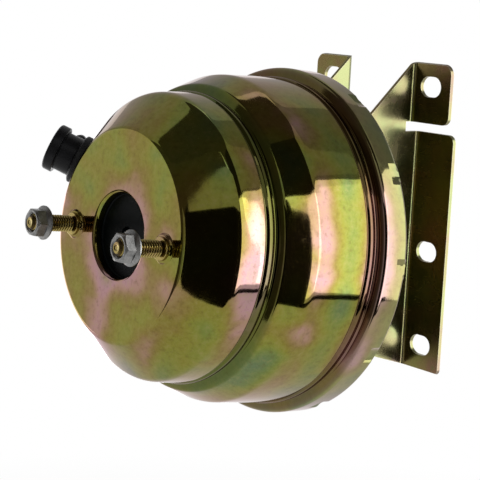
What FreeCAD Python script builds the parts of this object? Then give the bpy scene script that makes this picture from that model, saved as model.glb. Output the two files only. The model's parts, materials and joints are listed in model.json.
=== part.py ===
"""Dual-diaphragm vacuum brake booster on a pair of firewall brackets, in millimetres.

Row frame: the origin is the middle of the four lower bracket slots, on the face
that lies on the firewall. +Y points through the firewall to the pedal, +Z is up
and +X is to the right for someone who looks at the front shell.

The booster's own pieces are drawn in a booster frame first: the axis is +Y, the
flat front face of the front shell is y = 0 and the pedal end has positive y.
The brackets hold that frame nose-up against the firewall.
"""
import FreeCAD, Part
import math
import os

from FreeCAD import Matrix, Vector

# Mounting on the firewall
NOSE_UP_DEG = 5.0            # tilt of the booster axis against the firewall's normal
AXIS_HEIGHT = 27.0           # where the booster axis meets the firewall, above the origin
FACE_TO_FIREWALL = 196.2     # from the front face to the firewall, along the booster axis
BOLT_SPREAD = 85.725         # 3-3/8 in between left and right bolts, front and rear
LOWER_SLOT_PITCH = 57.15     # 2-1/4 in between the two lower slots of a bracket
TAB_SLOT_RISE = 98.43        # from the upper one of them to the slot in the tab
SLOT_LENGTH = 16.4
SLOT_WIDTH = 12.0

# Pressed shells, outer surfaces
SHELL_T = 1.6
HUB_BORE_R = 23.2            # hole for the pilot of the master cylinder
HUB_LIP_DEPTH = 4.6
HUB_LIP_ROUND = 2.2
FACE_RIM = 7.14              # flat face outside the raised seats of the studs
FACE_ROUND = 4.0
CONE_LENGTH = 21.3
CONE_RISE = 21.0
CONE_ROUND = 8.0
DRUM1_LENGTH = 20.7
DRUM1_TAPER = 1.8
GROOVE_DEPTH = 1.7
GROOVE_HALF = 1.8
GROOVE_ROUND = 1.2
GROOVE_EDGE_ROUND = 1.8
STEP_RISE = 6.2              # wall from the bottom of the first groove to the shoulder
STEP_RUN = 2.1
STEP_ROUND = 2.4
SHOULDER_LENGTH = 15.7
SHOULDER_RISE = 6.8
SHOULDER_ROUND = 12.0
DRUM2_LENGTH = 39.4
DRUM2_TAPER = 1.9
GROOVE2_DEPTH = 1.36
GROOVE2_HALF = 1.44
RING_RISE = 5.8              # from the end of the second drum to the crimped ring
RING_ROUND = 2.6
RING_LENGTH = 17.2
RING_LIP = 1.3               # how far the rear edge of the ring turns in
RING_LIP_LENGTH = 2.4

# Crimps that hold the rear shell in the ring
CRIMP_COUNT = 12
CRIMP_LENGTH = 8.2
CRIMP_DEPTH = 2.0
CRIMP_ROUND = 9.0

# Rear shell
REAR_RIM_WIDTH = 7.3
REAR_RIM_ROUND = 2.4
REAR_WALL_TAPER = 4.0
REAR_DEPTH = 18.2            # from its rim to the flat back
REAR_FLAT_RIM = 7.4          # flat back outside the heads of the rear studs
REAR_CORNER_DEPTH = 7.0      # sloping corner between the wall and the flat back
REAR_CORNER_ROUND = 8.0
NECK_R = 21.0
NECK_LENGTH = 21.0
NECK_ROUND = 2.4
NECK_SEAL_BACK = 2.6         # front of the lip seal behind the back of the shell
NECK_SEAL_LENGTH = 5.6
NECK_BEARING_INSET = 1.4     # rear of the bearing in front of the end of the neck

# Studs and nuts, 3/8 in
STUD_R = 4.76
THREAD_R = 4.6
STUD_OUT = 29.6              # from the front face to the tip of a master cylinder stud
SHANK_OUT = 14.0             # plain part of that stud, from the front face
SHOULDER_STUD_R = 5.3        # shoulder of that stud, in the hole of the shell
STUD_COLLAR_R = 6.4
STUD_COLLAR_T = 1.3
STUD_HEAD_R = 8.5
STUD_HEAD_T = 3.0
STUD_PAD_R = 8.4
STUD_PAD_T = 1.5
REAR_STUD_OUT = 19.0
REAR_STUD_HEAD_R = 8.0
REAR_STUD_HEAD_T = 2.6
NUT_FLATS = 14.3
NUT_HEIGHT = 8.6
NUT_FLANGE_R = 9.5
NUT_FLANGE_T = 1.8
STUD_TIP_PROUD = 1.0
JAM_NUT_T = 5.6

# Front reinforcement plate and front seal
PLATE_FRONT_T = 2.4
PLATE_FRONT_INSET = 3.6      # its rim lies this far inside the corner of the face
PLATE_FRONT_RIM = 6.0
PLATE_FRONT_TUBE_WALL = 2.4  # between the hub bore and the tube of the plate
PLATE_FRONT_TUBE = 11.5
HUB_SEAL_LENGTH = 9.5
HUB_SEAL_BACK = 0.6          # front of the seal behind the end of the hub lip
HUB_SEAL_WEB = 2.8
HUB_SEAL_WALL = 3.0

# Divider between the two vacuum chambers
DIVIDER_T = 1.5
DIVIDER_WEB_BACK = 23.5      # flat web, behind the front of the skirt
DIVIDER_CHANNEL = 9.0        # flat ring inside the front of the skirt
DIVIDER_SLOPE = 10.7         # sloping wall from that ring to the web
DIVIDER_ROUND = 2.4
DIVIDER_TUBE_LENGTH = 9.5
DIVIDER_SKIRT_GAP = 0.9
DIVIDER_TO_STEP = 8.3        # front of the skirt behind the step of the shell
DIVIDER_SEAL_WALL = 1.6
DIVIDER_SEAL_FLANGE = 2.4

# Power piston
SLEEVE_R = 19.5              # front sleeve, runs in the seal of the divider
SPIGOT_R = 17.0
SPIGOT_LENGTH = 6.0
SLEEVE_AHEAD = 3.5           # front shoulder in front of the tube of the divider
TAIL_R = 17.5                # tail, runs in the bearing of the rear shell
TAIL_LENGTH = 53.6
PISTON_FLANGE_R = 27.0
PISTON_FLANGE_T = 6.8
PISTON_ROUND = 0.8
VALVE_BORE_R = 13.6
VALVE_FLOOR_BACK = 3.0       # floor of the valve bore behind the key
VALVE_SEAT_HEIGHT = 5.2
VALVE_SEAT_R = 10.7
VALVE_SEAT_WIDTH = 0.8
PASSAGE_R = 1.7              # two air passages through the piston
PASSAGE_PLACE_R = 14.0
PLUNGER_R = 6.45
PLUNGER_GROOVE_R = 4.2
PLUNGER_SEAT_R = 9.2
PLUNGER_TAIL_R = 7.4
SOCKET_R = 11.2
SOCKET_DEPTH = 20.0
DISC_T = 1.6                 # sheet of the two piston plates
RUBBER_T = 1.8
FRONT_ROLL = 19.7            # from the front plate's rim to the step of the shell
REAR_ROLL = 13.0             # from the rear plate's rim to the wall of the rear shell
HUB_DISH_R = 35.0
DISH_RUN = 7.0
DISH_DEPTH = 5.0
DISC_ROUND = 4.0
DISC_SEAT = 0.4              # hub of the front plate in front of the piston's shoulder
REAR_DISH_LENGTH = 10.0
FRONT_DISC_RIM = 9.6
REAR_DISC_RIM = 10.0
ROLL_ROUND = 3.5
FRONT_ROLL_WIDTH = 9.4
REAR_ROLL_WIDTH = 8.7
ROLL_DEPTH = 4.6             # fold of the rear diaphragm in front of its bead
FRONT_BEAD_WIDTH = 3.6
FRONT_BEAD_LENGTH = 6.6
DISC_HOLE_R = 3.0
DISC_HOLE_COUNT = 6
LOCK_RING_WIDTH = 8.0
LOCK_RING_T = 1.2
OUTPUT_ROD_R = 5.0
OUTPUT_TIP_BACK = 9.0        # tip of the output rod at rest, behind the front face

# Input side
VALVE_TRAVEL = 1.6           # of the plunger in the power piston
BALL_BACK = 5.6              # ball of the push rod behind the valve seat
POPPET_LIFT = 1.1            # poppet's face behind the valve seat, at rest
POPPET_LENGTH = 15.5
ROD_SPRING_LENGTH = 10.0
KEY_T = 2.2
KEY_WIDTH = 14.8
KEY_FORK_WIDTH = 9.0
KEY_FOOT = 9.0               # reach of the fork below the axis
KEY_ROOM = 0.3               # round the key in its slot
REACTION_DISC_T = 4.6
ROD_FOOT_T = 6.0
TIP_FLATS = 8.0
TIP_HEAD = 5.4
TIP_SCREW_R = 3.0
TIP_SCREW_LENGTH = 12.0
CLIP_T = 1.6
POPPET_T = 3.0
POPPET_HOLE_R = 7.9
POPPET_FACE_R = 12.2
POPPET_BEAD = 4.0
RETAINER_HOLE_R = 8.3
RETAINER_T = 1.2
RETAINER_CUP = 5.0
FILTER_HOLE_R = 7.6
GRILLE_T = 2.4
GRILLE_SLOT_R = 1.3
BALL_R = 4.5
BALL_NECK_R = 3.0
BALL_NECK_LENGTH = 7.0
SPRING_COLLAR_R = 11.4
SPRING_COLLAR_T = 1.4
ROD_R = 4.0
ROD_THREAD_R = 4.76
ROD_THREAD_LENGTH = 36.0
ROD_END_R = 4.55             # slimmer end that leads the clevis on to the thread
ROD_END_LENGTH = 9.0
ROD_BEHIND_FIREWALL = 26.0
JAM_NUT_BACK = 0.5           # in front of the step to the slimmer end

# Boot over the rear end of the piston
BOOT_T = 1.2
BOOT_GRIP = 10.0             # length of its cuff on the neck
BOOT_PLEAT = 7.0
BOOT_PLEATS = 4
BOOT_ROUND = 1.6
BOOT_LOW = 2.6               # bottom of a pleat above the piston's tail
BOOT_HIGH = 4.0              # top of a pleat above the neck
BOOT_CUFF = 7.0              # length of its cuff on the push rod

# Vacuum check valve on the cone
VALVE_ANGLE_DEG = 151.4      # round the axis, from +X towards +Z
VALVE_ALONG_CONE = 12.5      # behind the front face
GROMMET_R = 14.4
GROMMET_FLANGE_T = 3.6
GROMMET_NECK_R = 10.4
GROMMET_BEAD_R = 12.2
GROMMET_BEAD_T = 2.6
GROMMET_ROUND = 0.8
VALVE_STEM_R = 6.5
VALVE_NECK_R = 11.4
VALVE_HEAD_R = 13.8
VALVE_HEAD_T = 6.2
VALVE_HEIGHT = 19.3
VALVE_ROUND = 0.8
VALVE_BORE = 3.2             # air bore of the stem
VALVE_CAP_RIM = 3.0
NOZZLE_RISE = 4.7            # nozzle above the grommet
NOZZLE_R = 3.9
NOZZLE_BOSS_R = 4.4
NOZZLE_REACH = 24.0
NOZZLE_BORE_R = 2.4
NOZZLE_BARB = 0.18           # height of the barb that holds the hose

# Brackets
PLATE_T = 2.3
WEB_X = 28.9                 # outer face of the web
FLANGE_X = 58.6              # outer edge of the firewall flange
FRONT_FLANGE_X = 56.5
FRONT_FLANGE_TOP = 60.0
FRONT_FLANGE_BOTTOM = -56.0
FRONT_LEG = 16.0             # straight leg of the web behind the front bend
BEND_R = 2.2
BELOW_SLOT = 15.8            # sheet below the lowest slot
TAB_ABOVE = 13.8             # sheet above the slot in the tab
TAB_BELOW = 21.5             # sheet below the slot in the tab
NOTCH_HEIGHT = 5.8           # gap between the tab and the lower flange
NOTCH_INTO_WEB = 4.4
LOW_CORNER = 3.5
NOTCH_CORNER = 5.0
TAB_CORNER = 6.5
FRONT_CORNER = 9.0
TAB_STEP = 5.6               # the tab stands this far forward of the lower flange
TAB_ROUND = 7.0              # corner of the web above the tab

# Springs
RETURN_WIRE_R = 1.6
RETURN_COIL_ROOM = 1.4       # between the spring and the tube of the front plate
RETURN_TURNS = 5.5
ROD_WIRE_R = 0.75
ROD_COIL_R = 9.6
ROD_TURNS = 2.5
POPPET_WIRE_R = 0.6
POPPET_COIL_R = 9.3
POPPET_TURNS = 3.5

# Fits
RUN_GAP = 0.05               # a metal or plastic shaft in its bearing
SEAL_GAP = 0.1               # a lip seal round a shaft
SEAT_GAP = 0.1               # pieces of one body that are pressed together
SOFT_GAP = 0.3               # soft pieces beside a moving one
HOLE_GAP = 0.14              # a stud in its hole

AXIS = Vector(0, 1, 0)
ORIGIN = Vector(0, 0, 0)
HALF_SPREAD = BOLT_SPREAD / 2


# Drawing helpers

def unit(a, b):
    d = (b[0] - a[0], b[1] - a[1])
    n = math.hypot(*d)
    return d[0] / n, d[1] / n


def corner_arc(before, corner, after):
    """Start, middle and end of the arc that rounds a corner (x, y, radius) of a path."""
    u = unit(before, corner)
    v = unit(corner, after)
    turn = math.acos(max(-1.0, min(1.0, u[0] * v[0] + u[1] * v[1])))
    cut = corner[2] * math.tan(turn / 2)
    start = (corner[0] - u[0] * cut, corner[1] - u[1] * cut)
    end = (corner[0] + v[0] * cut, corner[1] + v[1] * cut)
    side = (v[0] - u[0], v[1] - u[1])
    n = math.hypot(*side)
    reach = corner[2] * (1 / math.cos(turn / 2) - 1)
    mid = (corner[0] + side[0] / n * reach, corner[1] + side[1] / n * reach)
    return start, mid, end


def path_edges(points, closed):
    """Straight lines and corner arcs along points (x, y) or (x, y, corner radius)."""
    count = len(points)
    edges = []
    stops = []
    for i, p in enumerate(points):
        rounded = len(p) > 2 and p[2] > 1e-6 and (closed or 0 < i < count - 1)
        if rounded:
            stops.append(corner_arc(points[i - 1], p, points[(i + 1) % count]))
        else:
            stops.append((p[:2], None, p[:2]))
    last = count if closed else count - 1
    for i in range(count):
        start, mid, end = stops[i]
        if mid is not None:
            edges.append(Part.Arc(Vector(*start, 0), Vector(*mid, 0), Vector(*end, 0)).toShape())
        if i < last:
            to = stops[(i + 1) % count][0]
            if math.hypot(to[0] - end[0], to[1] - end[1]) > 1e-6:
                edges.append(Part.makeLine(Vector(*end, 0), Vector(*to, 0)))
    return edges


def outline(points):
    """Flat face in the XY plane inside a closed path with rounded corners."""
    return Part.Face(Part.Wire(Part.__sortEdges__(path_edges(points, True))))


def offset_path(points, t):
    """The same open path moved to its left by t, with its corner radii to match."""
    moved = []
    count = len(points)
    for i, p in enumerate(points):
        u = unit(points[i - 1], p) if i else unit(p, points[1])
        v = unit(p, points[i + 1]) if i < count - 1 else u
        turn = u[0] * v[1] - u[1] * v[0]
        half = math.atan2(turn, u[0] * v[0] + u[1] * v[1]) / 2
        normal = (-(u[1] + v[1]), u[0] + v[0])
        n = math.hypot(*normal)
        reach = t / math.cos(half)
        radius = p[2] if len(p) > 2 else 0.0
        if radius:
            radius = max(0.0, radius - math.copysign(1.0, turn) * t)
        moved.append((p[0] + normal[0] / n * reach, p[1] + normal[1] / n * reach, radius))
    return moved


def sheet_outline(points, t):
    """Section of sheet of thickness t to the left of an open path, right if t is negative."""
    near = path_edges(points, False)
    moved = offset_path(points, t)
    far = path_edges(moved, False)
    ends = [
        Part.makeLine(Vector(*points[0][:2], 0), Vector(*moved[0][:2], 0)),
        Part.makeLine(Vector(*points[-1][:2], 0), Vector(*moved[-1][:2], 0)),
    ]
    return Part.Face(Part.Wire(Part.__sortEdges__(near + far + ends)))


def turned(points):
    """Solid of revolution about the booster axis from closed points (radius, y, corner radius)."""
    return outline(points).revolve(ORIGIN, AXIS, 360)


def pressed(points, t):
    """Sheet of thickness t spun about the booster axis along open points (radius, y, radius)."""
    return sheet_outline(points, t).revolve(ORIGIN, AXIS, 360)


def ring(r_in, r_out, y0, y1, chamfer=0.0):
    """Plain ring or disc between two stations of the axis, with broken outer edges."""
    c = chamfer
    points = [(r_in, y0), (r_out - c, y0), (r_out, y0 + c), (r_out, y1 - c), (r_out - c, y1), (r_in, y1)]
    if not c:
        points = [(r_in, y0), (r_out, y0), (r_out, y1), (r_in, y1)]
    return turned(points)


def bar(r, y0, y1, x=0.0, z=0.0):
    """Cylinder along the booster axis between two stations."""
    return Part.makeCylinder(r, y1 - y0, Vector(x, y0, z), AXIS)


def shifted(shape, x=0.0, y=0.0, z=0.0):
    copy = shape.copy()
    copy.translate(Vector(x, y, z))
    return copy


def moved(shape, placement):
    copy = shape.copy()
    copy.Placement = placement.multiply(copy.Placement)
    return copy


def hex_prism(flats, y0, y1):
    r = flats / math.sqrt(3)
    corners = [Vector(r * math.cos(math.pi / 3 * k), y0, r * math.sin(math.pi / 3 * k)) for k in range(7)]
    return Part.Face(Part.makePolygon(corners)).extrude(Vector(0, y1 - y0, 0))


def hex_nut(flats, y0, y1, hole_r):
    """Hexagon nut with chamfered corners, drawn on the axis."""
    corner_r = flats / math.sqrt(3)
    drop = (corner_r - flats / 2) * 0.6
    blank = turned([
        (0, y0), (flats / 2, y0), (corner_r, y0 + drop),
        (corner_r, y1 - drop), (flats / 2, y1), (0, y1),
    ])
    body = hex_prism(flats, y0, y1).common(blank)
    return body.cut(bar(hole_r, y0 - 1, y1 + 1))


def flange_nut(seat_y, away, hole_r):
    """Flange nut whose flange lies on the plane y = seat_y and whose hexagon points to `away`."""
    flange = turned([
        (hole_r, 0), (NUT_FLANGE_R - 0.4, 0), (NUT_FLANGE_R, 0.5),
        (NUT_FLANGE_R, NUT_FLANGE_T - 0.7, 0.3), (NUT_FLATS / 2, NUT_FLANGE_T + 0.8),
        (hole_r, NUT_FLANGE_T + 0.8),
    ])
    nut = flange.fuse(hex_nut(NUT_FLATS, NUT_FLANGE_T - 0.6, NUT_HEIGHT, hole_r)).removeSplitter()
    if away < 0:
        nut = nut.mirror(ORIGIN, AXIS)
    return shifted(nut, y=seat_y)


def coil(mean_r, wire_r, y0, y1, turns):
    """Compression spring between two seats, with its ends ground flat on them."""
    pitch = (y1 - y0 - 2 * wire_r * 0.3) / turns
    helix = Part.makeHelix(pitch, pitch * turns, mean_r)
    section = Part.Wire(Part.makeCircle(wire_r, Vector(mean_r, 0, 0), AXIS))
    wire = Part.Wire(helix).makePipeShell([section], True, True)
    wire.rotate(ORIGIN, Vector(1, 0, 0), -90)
    wire.translate(Vector(0, y0 + wire_r * 0.3, 0))
    reach = mean_r + 2 * wire_r
    return wire.common(bar(reach, y0, y1))


# Stations along the booster axis, behind the front face

Y_DRUM1 = CONE_LENGTH
Y_GROOVE1 = Y_DRUM1 + DRUM1_LENGTH + GROOVE_HALF
Y_SHOULDER = Y_GROOVE1 + STEP_RUN
Y_DRUM2 = Y_SHOULDER + SHOULDER_LENGTH
Y_DRUM2_END = Y_DRUM2 + DRUM2_LENGTH
Y_GROOVE2 = Y_DRUM2_END + GROOVE2_HALF
Y_RING = Y_GROOVE2 + GROOVE2_HALF
Y_RING_END = Y_RING + RING_LENGTH
Y_CRIMP = Y_RING_END - CRIMP_LENGTH
FACE_R = HALF_SPREAD + STUD_PAD_R + FACE_RIM
DRUM1_FRONT_R = FACE_R + CONE_RISE
DRUM1_REAR_R = DRUM1_FRONT_R + DRUM1_TAPER
GROOVE1_R = DRUM1_REAR_R - GROOVE_DEPTH
STEP_R = GROOVE1_R + STEP_RISE
SHOULDER_R = STEP_R + SHOULDER_RISE
DRUM2_REAR_R = SHOULDER_R + DRUM2_TAPER
GROOVE2_R = DRUM2_REAR_R - GROOVE2_DEPTH
RING_R = DRUM2_REAR_R + RING_RISE

Y_REAR_RIM = Y_CRIMP - SEAT_GAP
Y_BACK = Y_REAR_RIM + REAR_DEPTH
Y_BACK_INSIDE = Y_BACK - SHELL_T
Y_NECK_END = Y_BACK + NECK_LENGTH
RIM_R = RING_R - SHELL_T - SOFT_GAP
REAR_WALL_R = RIM_R - REAR_RIM_WIDTH
REAR_CORNER_R = REAR_WALL_R - REAR_WALL_TAPER
REAR_FLAT_R = HALF_SPREAD * math.sqrt(2) + REAR_STUD_HEAD_R + REAR_FLAT_RIM
PLATE_FRONT_R = FACE_R - PLATE_FRONT_INSET
PLATE_FRONT_TUBE_R = HUB_BORE_R + PLATE_FRONT_TUBE_WALL
RETURN_COIL_R = PLATE_FRONT_TUBE_R + PLATE_FRONT_T + RETURN_COIL_ROOM + RETURN_WIRE_R
FRONT_DISC_R = STEP_R - FRONT_ROLL
REAR_DISC_R = REAR_WALL_R - REAR_ROLL
CHANNEL_R = STEP_R - DIVIDER_CHANNEL
DIVIDER_WEB_R = CHANNEL_R - DIVIDER_SLOPE

Y_DIVIDER_RIM = Y_RING + SHELL_T + SEAT_GAP
Y_BEAD_FRONT = Y_DIVIDER_RIM + DIVIDER_T + SEAT_GAP / 2
Y_BEAD_REAR = Y_REAR_RIM - SHELL_T - SEAT_GAP
Y_DIVIDER_FRONT = Y_SHOULDER + DIVIDER_TO_STEP
Y_WEB = Y_DIVIDER_FRONT + DIVIDER_WEB_BACK
Y_WEB_BACK = Y_WEB + DIVIDER_T
Y_TUBE_FRONT = Y_WEB - DIVIDER_TUBE_LENGTH
TUBE_R = SLEEVE_R + SEAL_GAP + DIVIDER_SEAL_WALL + SEAT_GAP + DIVIDER_T

# Power piston at rest: the key of its valve lies on the inside of the rear shell
Y_KEY_REAR = Y_BACK_INSIDE - SEAT_GAP
Y_KEY_FRONT = Y_KEY_REAR - KEY_T
Y_FLANGE_REAR = Y_KEY_FRONT - 2 * KEY_ROOM
Y_FLANGE_FRONT = Y_FLANGE_REAR - PISTON_FLANGE_T
Y_TAIL_END = Y_FLANGE_REAR + TAIL_LENGTH
Y_REAR_DISC = Y_FLANGE_FRONT - RUBBER_T - 2 * SEAT_GAP
Y_FRONT_SHOULDER = Y_TUBE_FRONT - SLEEVE_AHEAD
Y_FRONT_DISC = Y_FRONT_SHOULDER
Y_PISTON_FRONT = Y_FRONT_SHOULDER - SPIGOT_LENGTH
Y_SOCKET = Y_PISTON_FRONT + SOCKET_DEPTH
Y_VALVE_FLOOR = Y_KEY_REAR + VALVE_FLOOR_BACK
Y_VALVE_LIP = Y_VALVE_FLOOR + VALVE_SEAT_HEIGHT
Y_NOSE = Y_SOCKET + VALVE_TRAVEL
Y_BALL = Y_VALVE_LIP + BALL_BACK
Y_POPPET = Y_VALVE_LIP + POPPET_LIFT
Y_RETAINER = Y_POPPET + POPPET_LENGTH
Y_ROD_SEAT = Y_RETAINER + ROD_SPRING_LENGTH
Y_ROD_END = FACE_TO_FIREWALL + ROD_BEHIND_FIREWALL
Y_FOOT_REAR = Y_SOCKET - REACTION_DISC_T - 3 * SEAT_GAP
Y_TIP_SEAT = OUTPUT_TIP_BACK + TIP_HEAD
Y_GRILLE = Y_TAIL_END - 2 * GRILLE_T


# Housing

def front_shell_path():
    """Outer surface of the front shell, from the hub lip to the rear edge of the ring."""
    return [
        (HUB_BORE_R, HUB_LIP_DEPTH),
        (HUB_BORE_R, 0, HUB_LIP_ROUND),
        (FACE_R, 0, FACE_ROUND),
        (DRUM1_FRONT_R, Y_DRUM1, CONE_ROUND),
        (DRUM1_REAR_R, Y_GROOVE1 - GROOVE_HALF, GROOVE_EDGE_ROUND),
        (GROOVE1_R, Y_GROOVE1, GROOVE_ROUND),
        (STEP_R, Y_SHOULDER, STEP_ROUND),
        (SHOULDER_R, Y_DRUM2, SHOULDER_ROUND),
        (DRUM2_REAR_R, Y_DRUM2_END, GROOVE_EDGE_ROUND),
        (GROOVE2_R, Y_GROOVE2, GROOVE_ROUND),
        (RING_R, Y_RING, RING_ROUND),
        (RING_R, Y_RING_END - RING_LIP_LENGTH, RING_ROUND),
        (RING_R - RING_LIP, Y_RING_END),
    ]


def inside_of_ring():
    """Solid space inside the outer surface of the ring, where the crimps are."""
    return turned([
        (0, Y_CRIMP), (RING_R, Y_CRIMP), (RING_R, Y_RING_END - RING_LIP_LENGTH, RING_ROUND),
        (RING_R - RING_LIP, Y_RING_END), (0, Y_RING_END),
    ])


def stud_places():
    return [-HALF_SPREAD, HALF_SPREAD]


def rear_stud_places():
    return [(x, z) for x in stud_places() for z in stud_places()]


def stud_pad():
    """Raised seat that is pressed up out of the front face round a stud."""
    top = STUD_PAD_R - 1.0
    outer = turned([(0, SHELL_T * 0.5), (STUD_PAD_R, 0), (top, -STUD_PAD_T, 0.4), (0, -STUD_PAD_T)])
    inner = turned([
        (0, SHELL_T + 1), (STUD_PAD_R - SHELL_T, SHELL_T + 1),
        (top - SHELL_T, SHELL_T - STUD_PAD_T), (0, SHELL_T - STUD_PAD_T),
    ])
    return outer, inner


def turn_about_axis(step, count):
    """Placement that turns a piece by so many steps of a full circle about the axis."""
    return FreeCAD.Placement(ORIGIN, FreeCAD.Rotation(AXIS, 360.0 * step / count))


def crimp_cutter(r, y0, y1):
    """Round bar that presses one dent into the rear edge of the ring."""
    distance = RING_R - CRIMP_DEPTH + CRIMP_ROUND
    return Part.makeCylinder(r, y1 - y0, Vector(distance, y0, 0), AXIS)


def front_shell():
    shell = pressed(front_shell_path(), SHELL_T)
    outer, inner = stud_pad()
    for x in stud_places():
        shell = shell.fuse(shifted(outer, x)).cut(shifted(inner, x))
        shell = shell.cut(bar(SHOULDER_STUD_R + HOLE_GAP, -STUD_PAD_T - 1, SHELL_T + 1, x))
    room = crimp_cutter(CRIMP_ROUND, Y_CRIMP, Y_RING_END + 1)
    strip = crimp_cutter(CRIMP_ROUND + SHELL_T, Y_CRIMP, Y_RING_END)
    dent = strip.cut(room).common(inside_of_ring())
    for k in range(CRIMP_COUNT):
        place = turn_about_axis(k, CRIMP_COUNT)
        shell = shell.cut(moved(room, place))
        shell = shell.fuse(moved(dent, place))
    return shell.cut(valve_hole()).removeSplitter()


def rear_shell():
    path = [
        (RIM_R, Y_REAR_RIM),
        (REAR_WALL_R, Y_REAR_RIM, REAR_RIM_ROUND),
        (REAR_CORNER_R, Y_BACK - REAR_CORNER_DEPTH, REAR_CORNER_ROUND),
        (REAR_FLAT_R, Y_BACK, REAR_CORNER_ROUND),
        (NECK_R, Y_BACK, NECK_ROUND),
        (NECK_R, Y_NECK_END),
    ]
    shell = pressed(path, SHELL_T)
    for x, z in rear_stud_places():
        shell = shell.cut(bar(STUD_R + HOLE_GAP, Y_BACK_INSIDE - 1, Y_BACK + 1, x, z))
    return shell


def divider_plate():
    skirt_front = SHOULDER_R - SHELL_T - DIVIDER_SKIRT_GAP
    skirt_rear = DRUM2_REAR_R - SHELL_T - DIVIDER_SKIRT_GAP
    path = [
        (RIM_R, Y_DIVIDER_RIM),
        (skirt_rear, Y_DIVIDER_RIM, DIVIDER_ROUND),
        (skirt_front, Y_DRUM2, 2 * DIVIDER_ROUND),
        (STEP_R, Y_DIVIDER_FRONT, DIVIDER_ROUND),
        (CHANNEL_R, Y_DIVIDER_FRONT, DIVIDER_ROUND),
        (DIVIDER_WEB_R, Y_WEB, 2 * DIVIDER_ROUND),
        (TUBE_R, Y_WEB, DIVIDER_ROUND),
        (TUBE_R, Y_TUBE_FRONT),
    ]
    return pressed(path, -DIVIDER_T)


def divider_seal():
    """Lip seal that is held in the tube of the divider and wipes the piston's sleeve."""
    inside = SLEEVE_R + SEAL_GAP
    outside = TUBE_R - DIVIDER_T - SEAT_GAP
    flange_r = TUBE_R + DIVIDER_SEAL_FLANGE
    seat = Y_WEB_BACK + SEAT_GAP
    rear = seat + DIVIDER_SEAL_WALL
    relief = inside + DIVIDER_SEAL_WALL / 2
    return turned([
        (inside, Y_TUBE_FRONT), (outside, Y_TUBE_FRONT + DIVIDER_SEAL_WALL), (outside, seat), (flange_r, seat),
        (flange_r, rear), (relief, rear), (inside, seat), (inside, Y_WEB), (relief, Y_WEB - DIVIDER_SEAL_WALL),
        (inside, Y_WEB - 2 * DIVIDER_SEAL_WALL),
    ])


def front_reinforcement():
    """Dished plate behind the front face that carries the heads of the front studs."""
    path = [
        (PLATE_FRONT_TUBE_R, SHELL_T + PLATE_FRONT_TUBE),
        (PLATE_FRONT_TUBE_R, SHELL_T, 1.4),
        (PLATE_FRONT_R, SHELL_T, PLATE_FRONT_T + 0.8),
        (PLATE_FRONT_R, SHELL_T + PLATE_FRONT_RIM),
    ]
    plate = pressed(path, PLATE_FRONT_T)
    for x in stud_places():
        plate = plate.cut(bar(STUD_PAD_R - SHELL_T, SHELL_T - 1, SHELL_T + PLATE_FRONT_T + 1, x))
    return plate


def hub_seal():
    """Seal between the output rod and the hub, pressed in the tube of the plate."""
    outside = PLATE_FRONT_TUBE_R - SEAT_GAP
    inside = OUTPUT_ROD_R + SEAL_GAP
    front = HUB_LIP_DEPTH + HUB_SEAL_BACK
    rear = front + HUB_SEAL_LENGTH
    web = front + HUB_SEAL_BACK
    web_rear = web + HUB_SEAL_WEB
    wall = outside - HUB_SEAL_WALL
    lip = inside + HUB_SEAL_WALL
    return turned([
        (outside, front), (outside, rear), (wall, rear), (wall, web_rear, 1.0), (lip, web_rear, 1.0),
        (lip, rear - SHELL_T), (inside, rear - SHELL_T), (inside, web), (wall, web),
        (wall + HUB_SEAL_BACK, front),
    ])


def front_stud():
    """Master cylinder stud on the axis: head, shoulder in the plate, collar, shank and thread."""
    back = SHELL_T + PLATE_FRONT_T
    neck_r = STUD_PAD_R - SHELL_T - SEAT_GAP
    pad_top = -STUD_PAD_T
    pad_inside = SHELL_T - STUD_PAD_T
    shoulder_r = SHOULDER_STUD_R
    collar_top = pad_top - STUD_COLLAR_T
    return turned([
        (0, back + STUD_HEAD_T), (STUD_HEAD_R - 1.2, back + STUD_HEAD_T),
        (STUD_HEAD_R, back + STUD_HEAD_T - 1.2),
        (STUD_HEAD_R, back), (neck_r - 1.0, back), (neck_r - 1.0, pad_inside + 0.05),
        (shoulder_r, pad_inside + 0.05), (shoulder_r, pad_top), (STUD_COLLAR_R, pad_top),
        (STUD_COLLAR_R, collar_top, 0.4), (STUD_R, collar_top), (STUD_R, -SHANK_OUT), (THREAD_R, -SHANK_OUT),
        (THREAD_R, 1.0 - STUD_OUT), (THREAD_R - 1.0, -STUD_OUT), (1.6, -STUD_OUT), (0, 0.8 - STUD_OUT),
    ])


def mc_studs():
    stud = front_stud()
    return Part.makeCompound([shifted(stud, x) for x in stud_places()])


def mc_nuts():
    seat = STUD_TIP_PROUD + NUT_HEIGHT - STUD_OUT
    nut = flange_nut(seat, -1, THREAD_R + RUN_GAP)
    return Part.makeCompound([shifted(nut, x) for x in stud_places()])


def rear_studs():
    hole_r = STUD_R + HOLE_GAP - SEAT_GAP
    head = Y_BACK_INSIDE - REAR_STUD_HEAD_T
    tip = Y_BACK + REAR_STUD_OUT
    stud = turned([
        (0, head), (REAR_STUD_HEAD_R - 1.0, head), (REAR_STUD_HEAD_R, head + 1.0),
        (REAR_STUD_HEAD_R, Y_BACK_INSIDE),
        (hole_r, Y_BACK_INSIDE), (hole_r, Y_BACK), (THREAD_R, Y_BACK + 0.2), (THREAD_R, tip - 1.0),
        (THREAD_R - 1.0, tip), (0, tip),
    ])
    return Part.makeCompound([shifted(stud, x, 0, z) for x, z in rear_stud_places()])


def bracket_nuts():
    nut = flange_nut(Y_BACK + PLATE_T, 1, THREAD_R + RUN_GAP)
    return Part.makeCompound([shifted(nut, x, 0, z) for x, z in rear_stud_places()])


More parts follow.
